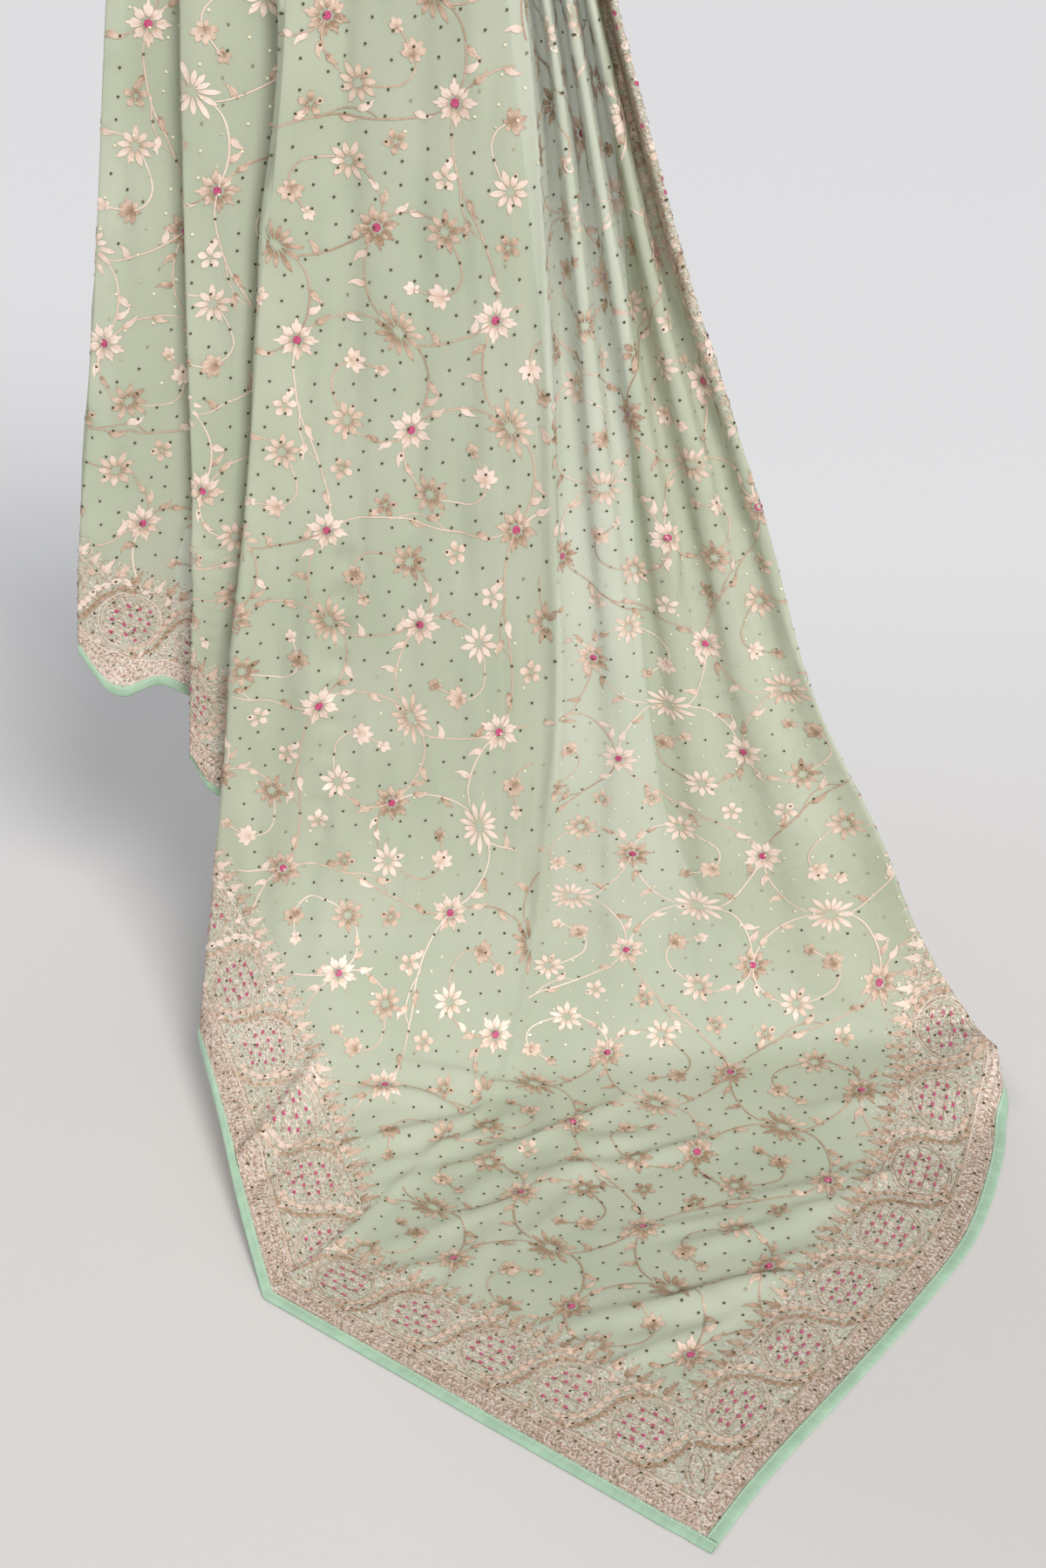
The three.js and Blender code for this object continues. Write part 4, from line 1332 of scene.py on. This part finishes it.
def satin_material(name):
    """Satin with a faint pucker and one row of stitches near its inner rim."""
    n = Nodes(name)
    flat = n.flat_place()
    down, over = n.new("ShaderNodeSeparateXYZ", {0: flat}).outputs[:2]
    base = n.mix_colour(n.ramp(n.noise(flat, 60.0, 2.0), 0.3, 0.7), SATIN, SATIN_PALE)
    row = n.math("LESS_THAN", n.math("ABSOLUTE", n.math("SUBTRACT", over, 0.0076)), 0.00045)
    dash = n.math("LESS_THAN", n.math("FRACT", n.math("MULTIPLY", down, 330.0)), 0.62)
    stitch = n.math("MULTIPLY", row, dash)
    base = n.mix_colour(stitch, base, SATIN_STITCH)
    sockets = {"Vector": flat, "Scale": 42.0, "Distortion": 5.0, "Detail": 1.0}
    pucker = n.new("ShaderNodeTexWave", sockets, wave_type="BANDS", bands_direction="X")
    height = n.math("ADD", pucker.outputs["Fac"], n.math("MULTIPLY", stitch, 1.2))
    relief = n.bump(height, 0.3, 0.0005)
    return n.finished(n.skin(base, Normal=relief, Roughness=0.42, Specular_IOR_Level=0.4,
                             Sheen_Weight=0.1))


def paper_material(name):
    """The floor: painted paler and less warm with distance, as painted light."""
    n = Nodes(name)
    where = n.object_place()
    distance = n.new("ShaderNodeSeparateXYZ", {0: where}).outputs[1]
    shade = n.mix_colour(n.ramp(distance, -0.2, 1.0), PAPER_NEAR, PAPER_FAR)
    relief = n.bump(n.noise(where, 160.0, 2.0), 0.15, 0.001)
    return n.finished(n.skin(shade, Normal=relief, Roughness=0.9))


georgette = cloth_material("georgette")
zari = thread_material("metal_thread")
pink = pink_material("pink_thread")
sequin = disc_material("small_discs")
satin = satin_material("piping_satin")


def cloth_object(name, grid, flat, edge, split=None):
    """The cloth as one thin sheet. Where it is cut flat in two parts, `split` is the column of
    the second part's first line, and `flat` holds both parts' coordinates."""
    rows, cols = grid.shape[:2]
    a = (np.arange(rows - 1)[:, None] * cols + np.arange(cols - 1)[None, :]).ravel()
    faces = np.stack([a, a + 1, a + cols + 1, a + cols], axis=1)
    obj = new_mesh(name, grid.reshape(-1, 3), faces, [georgette])
    set_floats(obj.data, "edge", edge.ravel() / 1000.0)
    if split is None:
        set_flat(obj.data, flat.reshape(-1, 2) / 1000.0)
    else:
        first, second = flat
        r = np.repeat(np.arange(rows - 1), cols - 1)
        c = np.tile(np.arange(cols - 1), rows - 1)
        corners = []
        for dr, dc in ((0, 0), (0, 1), (1, 1), (1, 0)):
            rr, cc = r + dr, c + dc
            left = c >= split
            value = np.where(left[:, None], second[rr, np.maximum(0, cc - split)],
                             first[rr, np.minimum(first.shape[1] - 1, cc)])
            corners.append(value)
        set_loops(obj.data, np.stack(corners, axis=1).reshape(-1, 2) / 1000.0)
    return obj


def motif_object(name, parts):
    points, tris, tone, kind = joined(parts)
    order = np.argsort(kind, kind="stable")
    tris, kind = tris[order], kind[order]
    points, tris, tone = used_only(points, tris, tone)
    obj = new_mesh(name, points, tris, [zari, pink, sequin])
    obj.data.polygons.foreach_set("material_index", kind.astype(np.int32))
    set_floats(obj.data, "tone", tone)
    return on_root(obj)


def lattice(u0, s0, low, high):
    size = 2 * PITCH
    us = np.arange(math.floor((low[0] - u0) / size) - 1, math.ceil((high[0] - u0) / size) + 1)
    ss = np.arange(math.floor((low[1] - s0) / size) - 1, math.ceil((high[1] - s0) / size) + 1)
    return [(u0 + size * i, s0 + size * j) for i in us for j in ss]


field = repeat_unit()
dots = dot_unit()
band = border_unit()


def field_parts(carrier, start, face=1.0):
    offsets = lattice(*start, carrier.coords.min(axis=0), carrier.coords.max(axis=0))

    def inner(places, edge):
        return edge > FIELD_MARGIN

    def not_piping(places, edge):
        return edge > DISC_MARGIN

    return [lay_shapes(carrier, field, offsets, inner, face=face),
            lay_shapes(carrier, dots, offsets, not_piping, face=face)]


def border_parts(carrier, start, stop, swap, mitre=None, face=1.0):
    """The woven border along one edge. With swap, x is the distance in and y runs along."""
    steps = np.arange(math.floor(start / BORDER_PITCH) - 1, math.ceil(stop / BORDER_PITCH) + 2)
    along_it = (steps + 0.5) * BORDER_PITCH
    offsets = [(0.0, y) if swap else (y, 0.0) for y in along_it]

    def inside(places, edge):
        run, depth = (places[:, 1], places[:, 0]) if swap else (places[:, 0], places[:, 1])
        ok = (run > start) & (run < stop) & (depth > BORDER_MARGIN)
        return ok & mitre(run, depth) if mitre else ok

    return [lay_shapes(carrier, band, offsets, inside, swap=swap, face=face, bias=0.1)]


def piping_object(name, outer, inner, node):
    """A flat tube of satin over an edge: two lines of points, the edge itself and its inner rim."""
    along_it = unit(np.gradient((outer + inner) / 2, axis=0))
    across = unit(inner - outer)
    normal = unit(np.cross(along_it, across))
    width = PIPING_WIDTH + 0.4
    place = np.random.default_rng(31)
    plump = 1 + 0.10 * np.interp(np.arange(len(outer)), np.arange(0, len(outer) + 3, 3),
                                 place.normal(0, 1, len(np.arange(0, len(outer) + 3, 3))))
    share = np.array([0.0, 0.12, 0.4, 0.7, 0.84, 0.93, 1.0])
    thick = np.array([0.25, 0.75, 0.98, 0.9, 0.62, 0.7, 0.3])
    top = [outer + across * (width * a) + normal * (b * plump)[:, None] for a, b in zip(share, thick)]
    low = [outer + across * (width * a) - normal * (b * plump)[:, None]
           for a, b in zip(share[::-1], thick[::-1])]
    ring = np.stack(top + low, axis=1)
    rows, cols = ring.shape[:2]
    run = run_along(outer)
    over = np.concatenate([share, share[::-1]]) * width
    faces = []
    for r in range(rows - 1):
        for c in range(cols):
            d = (c + 1) % cols
            faces.append([r * cols + c, r * cols + d, (r + 1) * cols + d, (r + 1) * cols + c])
    obj = new_mesh(name, ring.reshape(-1, 3), np.array(faces), [satin])
    flat = np.stack([np.repeat(run[:, None], cols, axis=1), np.repeat(over[None], rows, axis=0)], axis=2)
    set_flat(obj.data, flat.reshape(-1, 2) / 1000.0)
    return on_root(obj, node)


def stretch_of(ctrl):
    """A stretch behind: its creased grid and its flat coordinates, across and down."""
    grid = across_rows(pulled_in(ctrl, EDGE_TUCK), PLAIN, FOLD_TURN)
    run = run_across(grid) + EDGE_TUCK
    down = run_down(grid).mean(axis=1, keepdims=True)
    edge = np.minimum(run, run[:, -1:] + EDGE_TUCK - run)
    return crease_rear(grid, edge), run, np.repeat(down, grid.shape[1], axis=1)


def crease_rear(grid, edge):
    """Soft upright folds, the same in every layer behind, so that no layer meets the next."""
    x, y, z = grid[..., 0], grid[..., 1], grid[..., 2]
    part = rise(y, 12, 15) * rise(-z, 20, 160) * rise(z - FLOOR, 90, 130)
    out = soft_ridges(x, z - FLOOR, *REAR_FOLDS)
    out += soft_ridges(x, z - FLOOR, *REAR_CRINKLES)
    moved = grid.copy()
    moved[..., 1] += out * part * rise(edge, 7, 30)
    return moved


# Where the field's first flower lies on each part of the front, across and up.
FIELD_START = (115, 127)
LEFT_FIELD_START = (63, 33.5)


def past_corner(run, depth):
    """True on this side of the mitre, where two borders meet at a corner."""
    return run > depth + 3


front = cloth_object("front_fall", front_mid, (uv_right, uv_left), front_edge, split=first_flute)
on_root(front, "pallu_front_fall")

right_carrier = Carrier(front_mid[:, :first_flute + 1], uv_right, edge_right)
left_carrier = Carrier(front_mid[:, first_flute:], uv_left, edge_left)
end_at_flute = float(uv_right[-1, -1, 0] - uv_left[-1, 0, 0])
right_top = float(uv_right[0, 0, 1])
end_wide = end_at_flute + float(uv_left[-1, -1, 0])

motif_object("front_flowers_right", field_parts(right_carrier, FIELD_START))
motif_object("front_flowers_left", field_parts(left_carrier, LEFT_FIELD_START))

parts = border_parts(right_carrier, 0, end_at_flute, False, past_corner)
parts += border_parts(right_carrier, 0, right_top, True, past_corner)
shifted = Carrier(front_mid[:, first_flute:], uv_left + np.array([end_at_flute, 0.0]), edge_left)
parts += border_parts(shifted, end_at_flute, end_wide, False,
                      lambda run, depth: past_corner(end_wide - run, depth))
edge_run = run_down(front_left[:, -1:])
edge_up = (edge_run[-1:] - edge_run) + PIPING_WIDTH
side_coords = np.stack([from_left, np.repeat(edge_up, from_left.shape[1], axis=1)], axis=2)
near = np.where(from_left.max(axis=0) < 400)[0]
side = Carrier(front_mid[:, first_flute:][:, near], side_coords[:, near], edge_left[:, near])
parts += border_parts(side, 0, float(edge_up[0, 0]), True, past_corner)
motif_object("front_border", parts)

# The stretches behind carry on from the top of the front.
over_ctrl = over_hold(lambda depth: OUTER_R - depth, 18, SEAM)
rear_ctrl = rear_control(54, 18)
tuck_ctrl = tucked_control(40, 14, 36)
start_s = right_top
for name, ctrl, node in (
    ("crown", over_ctrl, "fall_over_hold"),
    ("back_fall", rear_ctrl, "rear_fall"),
    ("inner_fall", tuck_ctrl, "tucked_stretch"),
):
    grid, run, down = stretch_of(ctrl)
    flat = np.stack([run, start_s + down], axis=2)
    left_side = run[:, -1:] + EDGE_TUCK - run
    edge = np.minimum(run, left_side)
    on_root(cloth_object(name, grid, flat, edge), node)
    carrier = Carrier(grid, flat, edge)
    motif_object(name + "_flowers", field_parts(carrier, FIELD_START, face=-1.0))
    low, high = start_s, start_s + float(down[-1, 0])
    parts = border_parts(carrier, low, high, True, face=-1.0)
    left_flat = np.stack([left_side, flat[..., 1]], axis=2)
    near = np.where(left_side.max(axis=0) < 330)[0]
    far_edge = Carrier(grid[:, near], left_flat[:, near], edge[:, near])
    parts += border_parts(far_edge, low, high, True, face=-1.0)
    motif_object(name + "_border", parts)
    start_s = high

end_rows = front_ctrl[-2:]
end_cells = across_rows(pulled_in(end_rows, TRIM), FINE, FOLD_TURN)
end_cells[..., 2] -= end_sag
end_cells = np.concatenate([end_rows[:, :1], end_cells, end_rows[:, -1:]], axis=1)
piping_object("piping_end", end_cells[1], end_cells[0], "end_piping")
behind = np.vstack([over_ctrl[1:-1], rear_ctrl, tuck_ctrl[1:]])
all_rows = np.vstack([front_ctrl[:-2][::-1], behind])
for name, edge, inner, node in (
    ("piping_right", 0, 1, "right_edge_piping"),
    ("piping_left", -1, -2, "left_edge_piping"),
):
    outer = all_rows[:, edge]
    away = unit(all_rows[:, inner] - outer)
    piping_object(name, outer, outer + away * PIPING_WIDTH, node)

# A wide plain floor, just below the cloth.
floor_z = FLOOR / 1000 - 0.0004
half = 40
corners = [(x * half, y * half, floor_z) for x, y in ((-1, -1), (1, -1), (1, 1), (-1, 1))]
mesh = bpy.data.meshes.new("backdrop")
mesh.from_pydata(corners, [], [(0, 1, 2, 3)])
mesh.materials.append(paper_material("paper"))
backdrop = bpy.data.objects.new("backdrop", mesh)
bpy.context.scene.collection.objects.link(backdrop)

camera_data = bpy.data.cameras.new("camera")
camera_data.lens = 48.05
camera_data.sensor_width = 36
camera_data.sensor_fit = "AUTO"
camera = bpy.data.objects.new("camera", camera_data)
camera.location = (0.150, -1.600, -0.344)
camera.rotation_euler = (math.radians(61.7), 0, 0)
bpy.context.scene.collection.objects.link(camera)
bpy.context.scene.camera = camera


def new_light(name, kind, power, tint, heading, **values):
    data = bpy.data.lights.new(name, kind)
    data.energy = power
    data.color = tint
    for key, value in values.items():
        setattr(data, key, value)
    light = bpy.data.objects.new(name, data)
    light.rotation_euler = Vector(heading).to_track_quat("-Z", "Y").to_euler()
    bpy.context.scene.collection.objects.link(light)
    return light


WARM = (1.0, 0.985, 0.965)
COOL = (0.97, 0.985, 1.0)
FILL_PLACE = Vector((1.1, -3.1, 0.6))
FILL_TARGET = Vector((0.1, -0.1, -0.9))
new_light("key", "SUN", 2.35, WARM, (-0.33, 0.69, -0.645), angle=0.35)
new_light("rim", "SUN", 0.55, COOL, (0.45, -0.62, -0.64), angle=0.35)
fill = new_light("fill", "AREA", 24, COOL, FILL_TARGET - FILL_PLACE, shape="DISK", size=2.2)
fill.location = FILL_PLACE
world = bpy.data.worlds.new("world")
world.use_nodes = True
sky = world.node_tree.nodes["Background"].inputs
sky[0].default_value = (0.93, 0.96, 1.0, 1.0)
sky[1].default_value = 0.5
bpy.context.scene.world = world
bpy.context.scene.view_settings.view_transform = "Standard"
